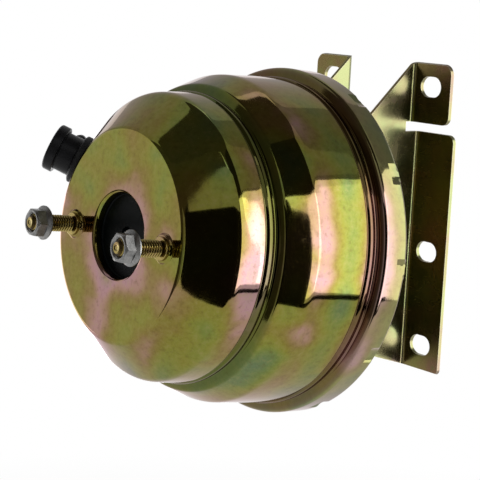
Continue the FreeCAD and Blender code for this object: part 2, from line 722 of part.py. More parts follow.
def neck_seal():
    """Rubber lip that wipes the tail of the piston inside the neck."""
    inside = TAIL_R + SEAL_GAP
    outside = NECK_R - SHELL_T - SEAT_GAP
    front = Y_BACK + NECK_SEAL_BACK
    rear = front + NECK_SEAL_LENGTH
    relief = inside + (outside - inside) / 2
    return turned([
        (inside, front), (outside, front + (outside - inside)), (outside, rear), (relief, rear),
        (relief, rear - NECK_SEAL_LENGTH / 3), (inside, rear - NECK_SEAL_LENGTH / 2),
    ])


def neck_bearing():
    """Plastic guide ring behind the lip."""
    outside = NECK_R - SHELL_T - SEAT_GAP
    front = Y_BACK + NECK_SEAL_BACK + NECK_SEAL_LENGTH + SOFT_GAP
    return ring(TAIL_R + RUN_GAP, outside, front, Y_NECK_END - NECK_BEARING_INSET, 0.3)


# Diaphragms, return spring and boot: soft pieces that follow the piston

def front_disc_path(r_start, shift=0.0):
    """Rear surface of the front piston plate, from its hub to the front edge of its rim."""
    hub = Y_FRONT_DISC - DISC_SEAT + shift
    web = hub - DISH_DEPTH
    return [
        (r_start, hub),
        (HUB_DISH_R, hub, DISC_ROUND),
        (HUB_DISH_R + DISH_RUN, web, DISC_ROUND),
        (FRONT_DISC_R + shift, web, DISC_ROUND),
        (FRONT_DISC_R + shift, web - FRONT_DISC_RIM),
    ]


def rear_disc_path(r_start, shift=0.0):
    """Rear surface of the rear piston plate, which is dished towards the back shell."""
    hub = Y_REAR_DISC + shift
    dish = hub + DISH_DEPTH
    dish_end = HUB_DISH_R + DISH_RUN + REAR_DISH_LENGTH
    return [
        (r_start, hub),
        (HUB_DISH_R, hub, DISC_ROUND),
        (HUB_DISH_R + DISH_RUN, dish, DISC_ROUND),
        (dish_end, dish, DISC_ROUND),
        (dish_end + DISH_RUN, hub, DISC_ROUND),
        (REAR_DISC_R + shift, hub, DISC_ROUND),
        (REAR_DISC_R + shift, hub - REAR_DISC_RIM),
    ]


def front_diaphragm():
    """Rolling diaphragm from the front plate to a bead in front of the divider's rim."""
    path = front_disc_path(SLEEVE_R + SEAT_GAP, SEAT_GAP)[:-1]
    rim_r = path[-1][0]
    fold_y = Y_SHOULDER + SOFT_GAP
    bead_y = Y_DIVIDER_FRONT - SEAT_GAP
    bead_r = STEP_R - DIVIDER_ROUND
    bead_middle_r = bead_r - FRONT_BEAD_WIDTH / 2
    path += [
        (rim_r, fold_y, ROLL_ROUND),
        (rim_r + FRONT_ROLL_WIDTH, fold_y, ROLL_ROUND),
        (rim_r + FRONT_ROLL_WIDTH, bead_y - RUBBER_T, RUBBER_T),
        (bead_middle_r, bead_y - RUBBER_T),
    ]
    bead = ring(bead_r - FRONT_BEAD_WIDTH, bead_r, bead_y - FRONT_BEAD_LENGTH, bead_y, 0.8)
    return pressed(path, RUBBER_T).fuse(bead).removeSplitter()


def rear_diaphragm():
    """Rolling diaphragm from the rear plate to a bead clamped between the shells."""
    path = rear_disc_path(SLEEVE_R + SEAT_GAP, SEAT_GAP)[:-1]
    rim_r = path[-1][0]
    fold_y = Y_BEAD_FRONT - ROLL_DEPTH
    path += [
        (rim_r, fold_y, ROLL_ROUND),
        (rim_r + REAR_ROLL_WIDTH, fold_y, ROLL_ROUND),
        (rim_r + REAR_ROLL_WIDTH, Y_BEAD_FRONT + 0.5, RUBBER_T),
        (REAR_WALL_R + 1.0, Y_BEAD_FRONT + 0.5),
    ]
    bead = ring(REAR_WALL_R, RIM_R, Y_BEAD_FRONT, Y_BEAD_REAR, 0.5)
    bumper_r = HUB_DISH_R + DISH_RUN + 1.0
    bumper_y = Y_REAR_DISC + DISH_DEPTH + RUBBER_T - 0.5
    bumper = ring(bumper_r, bumper_r + REAR_DISH_LENGTH / 2, bumper_y, Y_BACK_INSIDE - SOFT_GAP, 1.0)
    return pressed(path, RUBBER_T).fuse(bead).fuse(bumper).removeSplitter()


def return_spring():
    seat = SHELL_T + PLATE_FRONT_T + RUN_GAP
    plate = Y_FRONT_DISC - DISC_SEAT - DISC_T - RUN_GAP
    return coil(RETURN_COIL_R, RETURN_WIRE_R, seat, plate, RETURN_TURNS)


def dust_boot():
    """Rubber bellows from the neck of the rear shell to the push rod."""
    grip = NECK_R + SEAT_GAP + BOOT_T
    small = ROD_THREAD_R + SOFT_GAP + BOOT_T
    low = TAIL_R + BOOT_LOW
    high = NECK_R + BOOT_HIGH
    start = Y_NECK_END + BOOT_T + SOFT_GAP
    path = [(grip, Y_NECK_END - BOOT_GRIP), (grip, start, BOOT_T)]
    for k in range(BOOT_PLEATS):
        path.append((high, start + BOOT_PLEAT * (k + 0.3), BOOT_ROUND))
        path.append((low, start + BOOT_PLEAT * (k + 0.8), BOOT_ROUND))
    end = start + BOOT_PLEAT * BOOT_PLEATS
    path += [
        (low + BOOT_T, end + BOOT_ROUND, BOOT_ROUND),
        (low / 2 + BOOT_T, end + BOOT_PLEAT, BOOT_ROUND),
        (small, end + BOOT_PLEAT + BOOT_ROUND, BOOT_ROUND),
        (small, end + BOOT_PLEAT + BOOT_ROUND + BOOT_CUFF),
    ]
    return pressed(path, BOOT_T)


# Power piston

def valve_body():
    """Moulded piston: front sleeve, flange, tail, output socket, valve bore and its seat."""
    tip = PISTON_ROUND
    body = turned([
        (0, Y_PISTON_FRONT), (SPIGOT_R - tip, Y_PISTON_FRONT), (SPIGOT_R, Y_PISTON_FRONT + tip),
        (SPIGOT_R, Y_FRONT_SHOULDER), (SLEEVE_R, Y_FRONT_SHOULDER), (SLEEVE_R, Y_FLANGE_FRONT),
        (PISTON_FLANGE_R, Y_FLANGE_FRONT), (PISTON_FLANGE_R, Y_FLANGE_REAR, PISTON_ROUND),
        (TAIL_R, Y_FLANGE_REAR), (TAIL_R, Y_TAIL_END - tip), (TAIL_R - tip, Y_TAIL_END), (0, Y_TAIL_END),
    ])
    body = body.cut(bar(SOCKET_R, Y_PISTON_FRONT - 1, Y_SOCKET))
    body = body.cut(bar(PLUNGER_R + RUN_GAP, Y_SOCKET - 1, Y_VALVE_FLOOR + 1))
    seat_in = VALVE_SEAT_R - VALVE_SEAT_WIDTH
    bore = turned([
        (0, Y_VALVE_FLOOR), (seat_in, Y_VALVE_FLOOR), (seat_in, Y_VALVE_LIP), (VALVE_SEAT_R, Y_VALVE_LIP),
        (VALVE_SEAT_R, Y_VALVE_FLOOR), (VALVE_BORE_R, Y_VALVE_FLOOR), (VALVE_BORE_R, Y_TAIL_END + 1),
        (0, Y_TAIL_END + 1),
    ])
    body = body.cut(bore)
    for x in (-PASSAGE_PLACE_R, PASSAGE_PLACE_R):
        body = body.cut(bar(PASSAGE_R, Y_PISTON_FRONT - 1, Y_VALVE_FLOOR + 1, x))
    return body.cut(key_slot()).removeSplitter()


def key_slot():
    """Slot across the tail for the key, open at the top."""
    width = KEY_WIDTH + 2 * KEY_ROOM
    height = PISTON_FLANGE_R + KEY_FOOT + 2 * KEY_ROOM
    slot = Part.makeBox(width, KEY_T + KEY_ROOM, height)
    slot.translate(Vector(-width / 2, Y_KEY_FRONT - KEY_ROOM / 2, -KEY_FOOT - KEY_ROOM))
    return slot


def stop_key():
    """Forked plate that keeps the plunger in the piston and stops on the rear shell."""
    plate = Part.makeBox(KEY_WIDTH, KEY_T, PISTON_FLANGE_R + KEY_FOOT)
    plate.translate(Vector(-KEY_WIDTH / 2, Y_KEY_FRONT, -KEY_FOOT))
    fork = Part.makeBox(KEY_FORK_WIDTH, KEY_T, KEY_FOOT)
    fork.translate(Vector(-KEY_FORK_WIDTH / 2, Y_KEY_FRONT, -KEY_FOOT))
    return plate.cut(fork.fuse(bar(KEY_FORK_WIDTH / 2, Y_KEY_FRONT, Y_KEY_REAR)))


def front_disc():
    plate = pressed(front_disc_path(SPIGOT_R + SEAT_GAP), -DISC_T)
    hole_place_r = (HUB_DISH_R + DISH_RUN + FRONT_DISC_R) / 2 - DISC_HOLE_R
    web = Y_FRONT_DISC - DISC_SEAT - DISH_DEPTH
    hole = bar(DISC_HOLE_R, web - 2 * DISC_T, web + DISC_T, hole_place_r)
    for k in range(DISC_HOLE_COUNT):
        plate = plate.cut(moved(hole, turn_about_axis(k, DISC_HOLE_COUNT)))
    return plate


def rear_disc():
    return pressed(rear_disc_path(SLEEVE_R + SEAT_GAP), -DISC_T)


def disc_lock_ring():
    """Spring ring that holds the front plate against the shoulder of the piston."""
    seat = Y_FRONT_DISC - DISC_SEAT - DISC_T - SEAT_GAP
    inside = SPIGOT_R + SEAT_GAP / 2
    arch_r = SPIGOT_R + LOCK_RING_WIDTH / 3
    outside = SPIGOT_R + LOCK_RING_WIDTH
    arch = seat - LOCK_RING_T
    plate = turned([
        (inside, arch), (arch_r, arch - LOCK_RING_T, 1.0), (outside, arch),
        (outside, seat), (arch_r, arch, 1.0), (inside, seat),
    ])
    notch = Part.makeBox(LOCK_RING_T, 4 * LOCK_RING_T, LOCK_RING_WIDTH / 3)
    notch.translate(Vector(-LOCK_RING_T / 2, arch - 2 * LOCK_RING_T, SPIGOT_R - LOCK_RING_T))
    for k in range(8):
        plate = plate.cut(moved(notch, turn_about_axis(k, 8)))
    return plate


def reaction_disc():
    return ring(0, SOCKET_R - SOFT_GAP, Y_SOCKET - SEAT_GAP - REACTION_DISC_T, Y_SOCKET - SEAT_GAP, 0.4)


def output_rod():
    """Rod with a wide foot in the piston's socket and a threaded hole for the tip screw."""
    foot_r = SOCKET_R - SOFT_GAP
    foot_front = Y_FOOT_REAR - ROD_FOOT_T
    front = Y_TIP_SEAT + SEAT_GAP
    rod = turned([
        (0, Y_FOOT_REAR), (foot_r, Y_FOOT_REAR, 0.6), (foot_r, foot_front, 0.6),
        (OUTPUT_ROD_R, foot_front, 2.0),
        (OUTPUT_ROD_R, front + 0.6), (OUTPUT_ROD_R - 0.6, front), (0, front),
    ])
    return rod.cut(bar(TIP_SCREW_R + RUN_GAP, front - 1, Y_TIP_SEAT + TIP_SCREW_LENGTH + 2))


def output_tip():
    """Adjusting screw with a domed hexagon head in the front end of the output rod."""
    corner_r = TIP_FLATS / math.sqrt(3)
    dome = turned([
        (0, OUTPUT_TIP_BACK), (corner_r / 2, OUTPUT_TIP_BACK + 0.5, 2.0),
        (corner_r, OUTPUT_TIP_BACK + TIP_HEAD / 2),
        (corner_r, Y_TIP_SEAT), (0, Y_TIP_SEAT),
    ])
    head = hex_prism(TIP_FLATS, OUTPUT_TIP_BACK, Y_TIP_SEAT).common(dome)
    return head.fuse(bar(TIP_SCREW_R, Y_TIP_SEAT - 0.5, Y_TIP_SEAT + TIP_SCREW_LENGTH)).removeSplitter()


def rod_retainer():
    """Spring clip in the socket in front of the rod's foot."""
    rear = Y_FOOT_REAR - ROD_FOOT_T - SEAT_GAP
    outside = SOCKET_R - SEAT_GAP
    inside = OUTPUT_ROD_R + 2.2
    return turned([
        (inside, rear - CLIP_T, 0.4), (outside, rear - 1.5 * CLIP_T), (outside, rear - CLIP_T),
        (inside + CLIP_T / 2, rear), (inside, rear),
    ])


def poppet_valve():
    """Rubber poppet: flat sealing face, thin rolling wall and a bead in the valve bore."""
    outside = VALVE_BORE_R - SEAT_GAP
    rear = Y_RETAINER - SEAT_GAP
    bead = Y_RETAINER - POPPET_BEAD
    back = Y_POPPET + POPPET_T
    wall_r = POPPET_COIL_R + 2 * POPPET_WIRE_R
    return turned([
        (POPPET_HOLE_R, Y_POPPET), (POPPET_FACE_R, Y_POPPET, 0.5), (POPPET_FACE_R, back, 0.5),
        (wall_r + 0.8, back + 1.0), (wall_r + 0.8, bead - 1.0), (outside, bead), (outside, rear),
        (wall_r, rear), (wall_r, back), (POPPET_HOLE_R, back),
    ])


def poppet_retainer():
    """Steel cup pressed in the valve bore; both small springs seat on it."""
    rim = VALVE_BORE_R - SEAT_GAP / 2
    floor = Y_RETAINER + RETAINER_T
    end = Y_RETAINER + RETAINER_CUP
    return turned([
        (RETAINER_HOLE_R, Y_RETAINER), (rim, Y_RETAINER), (rim, end), (rim - RETAINER_T, end),
        (rim - RETAINER_T, floor), (RETAINER_HOLE_R, floor),
    ])


def air_filter():
    front = Y_ROD_SEAT + 2 * SPRING_COLLAR_T
    return ring(FILTER_HOLE_R, VALVE_BORE_R - SEAT_GAP, front, Y_GRILLE - SEAT_GAP, 0.5)


def filter_retainer():
    """Snap-in grille ring behind the air filter, with open slots for the air."""
    outside = VALVE_BORE_R - SEAT_GAP
    plate = ring(FILTER_HOLE_R, outside, Y_GRILLE, Y_GRILLE + GRILLE_T, 0.4)
    slot = bar(GRILLE_SLOT_R, Y_GRILLE - 1, Y_GRILLE + GRILLE_T + 1, (FILTER_HOLE_R + outside) / 2)
    for k in range(6):
        plate = plate.cut(moved(slot, turn_about_axis(k, 6)))
    return plate


# Input side

def valve_plunger():
    """Long plunger with a groove for the key, a seat flange and a socket for the rod's ball."""
    groove_front = Y_KEY_FRONT - SEAT_GAP
    groove_rear = Y_KEY_REAR + VALVE_TRAVEL + SEAT_GAP
    flange = Y_VALVE_LIP - SOFT_GAP
    flange_rear = Y_POPPET - RUN_GAP
    end = Y_BALL + 2 * BALL_R
    body = turned([
        (0, Y_NOSE), (PLUNGER_R - 0.8, Y_NOSE), (PLUNGER_R, Y_NOSE + 0.8), (PLUNGER_R, groove_front),
        (PLUNGER_GROOVE_R, groove_front), (PLUNGER_GROOVE_R, groove_rear), (PLUNGER_R, groove_rear),
        (PLUNGER_R, flange - 1.6), (PLUNGER_SEAT_R, flange), (PLUNGER_SEAT_R, flange_rear),
        (PLUNGER_TAIL_R, flange_rear), (PLUNGER_TAIL_R, end), (0, end),
    ])
    ball_room = BALL_R + RUN_GAP
    socket = bar(ball_room, Y_BALL, end + 1).fuse(Part.makeSphere(ball_room, Vector(0, Y_BALL, 0)))
    return body.cut(socket)


def input_rod():
    """Push rod: ball in the plunger, spring collar, and a thread for the pedal's clevis."""
    thread = Y_ROD_END - ROD_THREAD_LENGTH
    slim = Y_ROD_END - ROD_END_LENGTH
    neck = Y_BALL + BALL_NECK_LENGTH
    collar = Y_ROD_SEAT + SPRING_COLLAR_T
    shaft = turned([
        (0, Y_BALL), (BALL_NECK_R, Y_BALL), (BALL_NECK_R, neck), (ROD_R, neck + 2.0), (ROD_R, Y_ROD_SEAT),
        (SPRING_COLLAR_R, Y_ROD_SEAT), (SPRING_COLLAR_R, collar), (ROD_R, collar), (ROD_R, thread - 0.8),
        (ROD_THREAD_R, thread), (ROD_THREAD_R, slim), (ROD_END_R, slim), (ROD_END_R, Y_ROD_END - 1.2),
        (ROD_END_R - 1.2, Y_ROD_END), (0, Y_ROD_END),
    ])
    return shaft.fuse(Part.makeSphere(BALL_R, Vector(0, Y_BALL, 0))).removeSplitter()


def rod_jam_nut():
    rear = Y_ROD_END - ROD_END_LENGTH - JAM_NUT_BACK
    return hex_nut(NUT_FLATS, rear - JAM_NUT_T, rear, ROD_THREAD_R + RUN_GAP)


def rod_spring():
    seat = Y_RETAINER + RETAINER_T + RUN_GAP
    return coil(ROD_COIL_R, ROD_WIRE_R, seat, Y_ROD_SEAT - RUN_GAP, ROD_TURNS)


def poppet_spring():
    seat = Y_POPPET + POPPET_T + RUN_GAP
    return coil(POPPET_COIL_R, POPPET_WIRE_R, seat, Y_RETAINER - RUN_GAP, POPPET_TURNS)


# Vacuum check valve in its rubber grommet

CONE_RUN = math.hypot(DRUM1_FRONT_R - FACE_R, CONE_LENGTH)
CONE_OUT = CONE_LENGTH / CONE_RUN
CONE_FORWARD = (DRUM1_FRONT_R - FACE_R) / CONE_RUN


def valve_frame():
    """Placement whose +Z is the outward normal of the cone and +X runs back along the cone."""
    angle = math.radians(VALVE_ANGLE_DEG)
    out = Vector(math.cos(angle), 0, math.sin(angle))
    normal = out * CONE_OUT - AXIS * CONE_FORWARD
    back = out * CONE_FORWARD + AXIS * CONE_OUT
    r = FACE_R + VALVE_ALONG_CONE * CONE_FORWARD / CONE_OUT
    place = out * r + AXIS * VALVE_ALONG_CONE
    side = normal.cross(back)
    return FreeCAD.Placement(Matrix(
        back.x, side.x, normal.x, place.x,
        back.y, side.y, normal.y, place.y,
        back.z, side.z, normal.z, place.z,
        0, 0, 0, 1,
    ))


def upright(points):
    """Solid of revolution about +Z from closed points (radius, height, corner radius)."""
    face = outline(points)
    face.rotate(ORIGIN, Vector(1, 0, 0), 90)
    return face.revolve(ORIGIN, Vector(0, 0, 1), 360)


def valve_hole():
    hole = Part.makeCylinder(GROMMET_NECK_R + SEAT_GAP / 2, 12, Vector(0, 0, -6))
    return moved(hole, valve_frame())


def valve_grommet():
    """Grommet that follows the cone on both sides of the sheet."""
    deep = -SHELL_T - GROMMET_BEAD_T
    hole = VALVE_STEM_R + RUN_GAP
    top = GROMMET_FLANGE_T
    waist = -SHELL_T / 2
    raw = upright([
        (hole, deep), (GROMMET_BEAD_R - 1.0, deep), (GROMMET_BEAD_R, deep + 1.0), (GROMMET_BEAD_R, waist),
        (GROMMET_R, waist), (GROMMET_R, top - 1.0, GROMMET_ROUND), (GROMMET_R - 1.6, top, GROMMET_ROUND),
        (hole, top),
    ])
    grommet = moved(raw, valve_frame()).cut(pressed(front_shell_path(), SHELL_T).cut(valve_hole()))
    return max(grommet.Solids, key=lambda s: s.Volume)


def check_valve_body():
    """Stem, neck and hose nozzle of the check valve."""
    deep = -SHELL_T - GROMMET_BEAD_T - VALVE_ROUND
    seat = GROMMET_FLANGE_T + RUN_GAP
    head = VALVE_HEIGHT - VALVE_HEAD_T
    body = upright([
        (VALVE_BORE, deep), (VALVE_STEM_R - 0.6, deep), (VALVE_STEM_R, deep + 0.6), (VALVE_STEM_R, seat),
        (VALVE_NECK_R, seat, 0.5), (VALVE_NECK_R, head), (0, head), (0, head - 2.4), (VALVE_BORE, head - 2.4),
    ])
    height = GROMMET_FLANGE_T + NOZZLE_RISE
    barb = NOZZLE_R + NOZZLE_BARB
    barb_seat = NOZZLE_REACH - 5.0
    boss_end = GROMMET_R + SOFT_GAP
    nozzle = outline([
        (0, 0), (NOZZLE_BOSS_R, 0), (NOZZLE_BOSS_R, boss_end, 0.5), (NOZZLE_R, boss_end),
        (NOZZLE_R, barb_seat),
        (barb, barb_seat + 1.0), (barb, barb_seat + 1.6), (NOZZLE_R - 0.9, NOZZLE_REACH, 0.7),
        (0, NOZZLE_REACH),
    ]).revolve(ORIGIN, AXIS, 360)
    nozzle.rotate(ORIGIN, Vector(0, 0, 1), -90)
    nozzle.translate(Vector(0, 0, height))
    bore = Part.makeCylinder(NOZZLE_BORE_R, NOZZLE_REACH + 1, Vector(0, 0, height), Vector(1, 0, 0))
    return moved(body.fuse(nozzle).cut(bore).removeSplitter(), valve_frame())


def check_valve_cap():
    """Wide cap that closes the outer end of the check valve."""
    low = VALVE_HEIGHT - VALVE_HEAD_T
    rim = VALVE_HEAD_R - VALVE_CAP_RIM
    sunk = VALVE_HEIGHT - 0.6
    cap = upright([
        (0, low), (VALVE_HEAD_R, low, VALVE_ROUND), (VALVE_HEAD_R, VALVE_HEIGHT, 2 * VALVE_ROUND),
        (rim, VALVE_HEIGHT, 0.4), (rim - 0.4, sunk, 0.3), (0, sunk),
    ])
    return moved(cap, valve_frame())


# Firewall brackets, drawn in the row frame for the +X side

def booster_place():
    """Placement of the booster frame in the row frame."""
    turn = FreeCAD.Rotation(Vector(1, 0, 0), -NOSE_UP_DEG)
    shift = turn.multVec(Vector(0, -FACE_TO_FIREWALL, 0)) + Vector(0, 0, AXIS_HEIGHT)
    return FreeCAD.Placement(shift, turn)


def row_point(y, z):
    """Y and Z in the row frame of a point of the booster frame."""
    p = booster_place().multVec(Vector(0, y, z))
    return p.y, p.z


def angle_sheet(web_end, flange_x, face_y, away):
    """Bent L section in the XY plane, one leg along Y and the flange turned out along +X.

    face_y is the flange's face on the web's side of the bend and away the side it is thick to.
    """
    inner_x = WEB_X - PLATE_T
    back_y = face_y + away * PLATE_T
    return outline([
        (inner_x, web_end), (WEB_X, web_end), (WEB_X, face_y, BEND_R), (flange_x, face_y),
        (flange_x, back_y), (inner_x, back_y, BEND_R + PLATE_T),
    ])


def prism_x(points, x0, x1):
    """Solid between two X planes with a (Y, Z, corner radius) outline."""
    face = outline(points)
    face = moved(face, FreeCAD.Placement(Matrix(0, 0, 1, x0, 1, 0, 0, 0, 0, 1, 0, 0, 0, 0, 0, 1)))
    return face.extrude(Vector(x1 - x0, 0, 0))


def prism_y(points, y0, y1):
    """Solid between two Y planes with an (X, Z, corner radius) outline."""
    face = outline(points)
    face.rotate(ORIGIN, Vector(1, 0, 0), 90)
    face.translate(Vector(0, y0, 0))
    return face.extrude(Vector(0, y1 - y0, 0))


def slot_cutter(z):
    """Round-ended slot along X through everything near the firewall face."""
    r = SLOT_WIDTH / 2
    half = SLOT_LENGTH / 2 - r
    long_y = 4 * (TAB_STEP + PLATE_T)
    ends = [
        Part.makeCylinder(r, long_y, Vector(HALF_SPREAD + side * half, -long_y / 2, z), AXIS)
        for side in (-1, 1)
    ]
    middle = Part.makeBox(2 * half, long_y, SLOT_WIDTH, Vector(HALF_SPREAD - half, -long_y / 2, z - r))
    return middle.multiFuse(ends)


def bracket():
    slots = (-LOWER_SLOT_PITCH / 2, LOWER_SLOT_PITCH / 2, LOWER_SLOT_PITCH / 2 + TAB_SLOT_RISE)
    bottom = slots[0] - BELOW_SLOT
    tab_top = slots[2] + TAB_ABOVE
    tab_low = slots[2] - TAB_BELOW
    lower_top = tab_low - NOTCH_HEIGHT
    tab_y = -TAB_STEP
    low_front = row_point(Y_BACK, FRONT_FLANGE_BOTTOM)
    top_front = row_point(Y_BACK, FRONT_FLANGE_TOP)
    web_start = min(low_front[0], top_front[0]) - 5.0

    low = angle_sheet(web_start, FLANGE_X, -PLATE_T, 1)
    low = shifted(low, z=bottom).extrude(Vector(0, 0, lower_top - bottom))
    low = low.common(prism_y([
        (0, bottom), (FLANGE_X, bottom, LOW_CORNER), (FLANGE_X, lower_top, NOTCH_CORNER), (0, lower_top),
    ], web_start - 1, 1))
    tab = angle_sheet(web_start, FLANGE_X, tab_y - PLATE_T, 1)
    tab = shifted(tab, z=tab_low).extrude(Vector(0, 0, tab_top - tab_low))
    tab = tab.common(prism_y([
        (0, tab_low), (FLANGE_X, tab_low, NOTCH_CORNER), (FLANGE_X, tab_top, TAB_CORNER), (0, tab_top),
    ], web_start - 1, 1))
    link_end = tab_y - PLATE_T - NOTCH_INTO_WEB
    link = Part.makeBox(
        PLATE_T, link_end - web_start, NOTCH_HEIGHT, Vector(WEB_X - PLATE_T, web_start, lower_top),
    )
    rear = low.multiFuse([tab, link])
    side = prism_x([
        low_front, (1.0, bottom), (1.0, tab_top), (tab_y - PLATE_T, tab_top, TAB_ROUND), top_front,
    ], 0, FLANGE_X + 1)
    rear = rear.common(side)

    high = FRONT_FLANGE_TOP
    foot = FRONT_FLANGE_BOTTOM
    front = angle_sheet(Y_BACK + FRONT_LEG, FRONT_FLANGE_X, Y_BACK + PLATE_T, -1)
    front = shifted(front, z=foot).extrude(Vector(0, 0, high - foot))
    front = front.common(prism_y([
        (0, foot), (FRONT_FLANGE_X, foot, FRONT_CORNER), (FRONT_FLANGE_X, high, FRONT_CORNER), (0, high),
    ], Y_BACK - 1, Y_NECK_END))
    for x, z in rear_stud_places():
        front = front.cut(bar(STUD_R + 2 * HOLE_GAP, Y_BACK - 5, Y_BACK + 10, x, z))
    front = moved(front, booster_place())
    joined = rear.cut(front_trim()).fuse(front).removeSplitter()
    for z in slots:
        joined = joined.cut(slot_cutter(z))
    return joined.removeSplitter()


def front_trim():
    """Everything in front of the bracket's front bend, cleared off the straight web."""
    tall = 2 * (TAB_SLOT_RISE + LOWER_SLOT_PITCH)
    block = Part.makeBox(2 * FLANGE_X, Y_BACK, tall)
    block.translate(Vector(0, BEND_R + PLATE_T, -tall / 2))
    return moved(block, booster_place())


def build_booster_nodes():
    return {
        "front_shell": front_shell(),
        "rear_shell": rear_shell(),
        "divider_plate": divider_plate(),
        "divider_seal": divider_seal(),
        "front_reinforcement": front_reinforcement(),
        "hub_seal": hub_seal(),
        "mc_studs": mc_studs(),
        "mc_nuts": mc_nuts(),
        "rear_studs": rear_studs(),
        "bracket_nuts": bracket_nuts(),
        "neck_seal": neck_seal(),
        "neck_bearing": neck_bearing(),
        "front_diaphragm": front_diaphragm(),
        "rear_diaphragm": rear_diaphragm(),
        "return_spring": return_spring(),
        "dust_boot": dust_boot(),
        "valve_body": valve_body(),
        "stop_key": stop_key(),
        "front_piston_plate": front_disc(),
        "rear_piston_plate": rear_disc(),
        "plate_lock_ring": disc_lock_ring(),
        "reaction_disc": reaction_disc(),
        "output_rod": output_rod(),
        "output_tip": output_tip(),
        "rod_retainer": rod_retainer(),
        "poppet_valve": poppet_valve(),
        "poppet_retainer": poppet_retainer(),
        "air_filter": air_filter(),
        "filter_retainer": filter_retainer(),
        "valve_plunger": valve_plunger(),
        "input_rod": input_rod(),
        "rod_jam_nut": rod_jam_nut(),
        "rod_spring": rod_spring(),
        "poppet_spring": poppet_spring(),
        "valve_grommet": valve_grommet(),
        "check_valve_body": check_valve_body(),
        "check_valve_cap": check_valve_cap(),
    }


def main():
    os.makedirs("parts", exist_ok=True)
    place = booster_place()
    nodes = {name: moved(shape, place) for name, shape in build_booster_nodes().items()}
    right = bracket()
    nodes["bracket_right"] = right
    nodes["bracket_left"] = right.mirror(ORIGIN, Vector(1, 0, 0))
    for name, shape in nodes.items():
        shape.exportStep(f"parts/{name}.step")


main()
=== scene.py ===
import json
import math

import bmesh
import bpy
import numpy as np
from mathutils import Matrix, Vector


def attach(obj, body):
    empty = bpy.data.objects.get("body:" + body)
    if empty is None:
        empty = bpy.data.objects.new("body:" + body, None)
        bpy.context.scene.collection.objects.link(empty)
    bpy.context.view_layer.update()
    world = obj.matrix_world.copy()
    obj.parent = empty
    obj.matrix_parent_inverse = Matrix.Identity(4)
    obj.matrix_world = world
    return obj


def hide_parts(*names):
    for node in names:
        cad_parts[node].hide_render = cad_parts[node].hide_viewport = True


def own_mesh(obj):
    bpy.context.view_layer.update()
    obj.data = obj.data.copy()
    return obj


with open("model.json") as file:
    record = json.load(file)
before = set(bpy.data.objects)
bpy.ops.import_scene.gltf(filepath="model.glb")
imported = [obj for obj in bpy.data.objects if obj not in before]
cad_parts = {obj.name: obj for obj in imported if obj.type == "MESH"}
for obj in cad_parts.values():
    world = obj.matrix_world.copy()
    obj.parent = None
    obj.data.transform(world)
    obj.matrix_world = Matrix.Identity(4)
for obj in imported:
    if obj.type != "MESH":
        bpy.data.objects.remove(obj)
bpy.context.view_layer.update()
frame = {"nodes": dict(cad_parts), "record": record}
nodes = frame["nodes"]
scene = bpy.context.scene

# Booster frame: axis +Y, front face at y = 0, millimetres.
# TILT and the two lengths place it in the row frame.
TILT = math.radians(5.0)
TO_FIREWALL = 196.2
AXIS_HEIGHT = 27.0


def place_matrix():
    turn = Matrix.Rotation(-TILT, 4, "X")
    shift = turn @ Vector((0, -TO_FIREWALL, 0))
    base = Matrix.Translation(shift + Vector((0, 0, AXIS_HEIGHT))) @ turn
    return Matrix.Scale(0.001, 4) @ base


PLACE = place_matrix()


def to_row(points):
    """Booster frame in mm to row frame in m."""
    m = np.array(PLACE)
    p = np.asarray(points, float)
    return p @ m[:3, :3].T + m[:3, 3]


# mesh helpers

def root_shade_faces(verts, faces, r_crest, y_lo, y_hi):
    """1 for each face in the bottom of the thread round the Y axis, which takes the painted shade, 0 for
    the rest.
    """
    v = np.asarray(verts)
    r_root = r_crest - THREAD_DEPTH * 0.55
    out = []
    for f in faces:
        c = v[list(f)].mean(0)
        out.append(1 if y_lo < c[1] < y_hi and math.hypot(c[0], c[2]) < r_root and len(f) == 4 else 0)
    return out


def new_object(name, verts, faces, mats, body, sharp, face_mat=None):
    """Mesh in the row frame that rides on a body; edges over `sharp` degrees stay hard."""
    mesh = bpy.data.meshes.new(name)
    mesh.from_pydata([tuple(v) for v in verts], [], [tuple(int(i) for i in f) for f in faces])
    mesh.validate()
    work = bmesh.new()
    work.from_mesh(mesh)
    bmesh.ops.recalc_face_normals(work, faces=work.faces)
    work.to_mesh(mesh)
    work.free()
    for m in mats:
        mesh.materials.append(m)
    if face_mat is not None:
        mesh.polygons.foreach_set("material_index", np.asarray(face_mat, np.int32))
    mesh.polygons.foreach_set("use_smooth", [True] * len(mesh.polygons))
    mesh.set_sharp_from_angle(angle=math.radians(sharp))
    mesh.update()
    obj = bpy.data.objects.new(name, mesh)
    scene.collection.objects.link(obj)
    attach(obj, body)
    return obj


def unit(a, b):
    d = (b[0] - a[0], b[1] - a[1])
    n = math.hypot(*d)
    return d[0] / n, d[1] / n


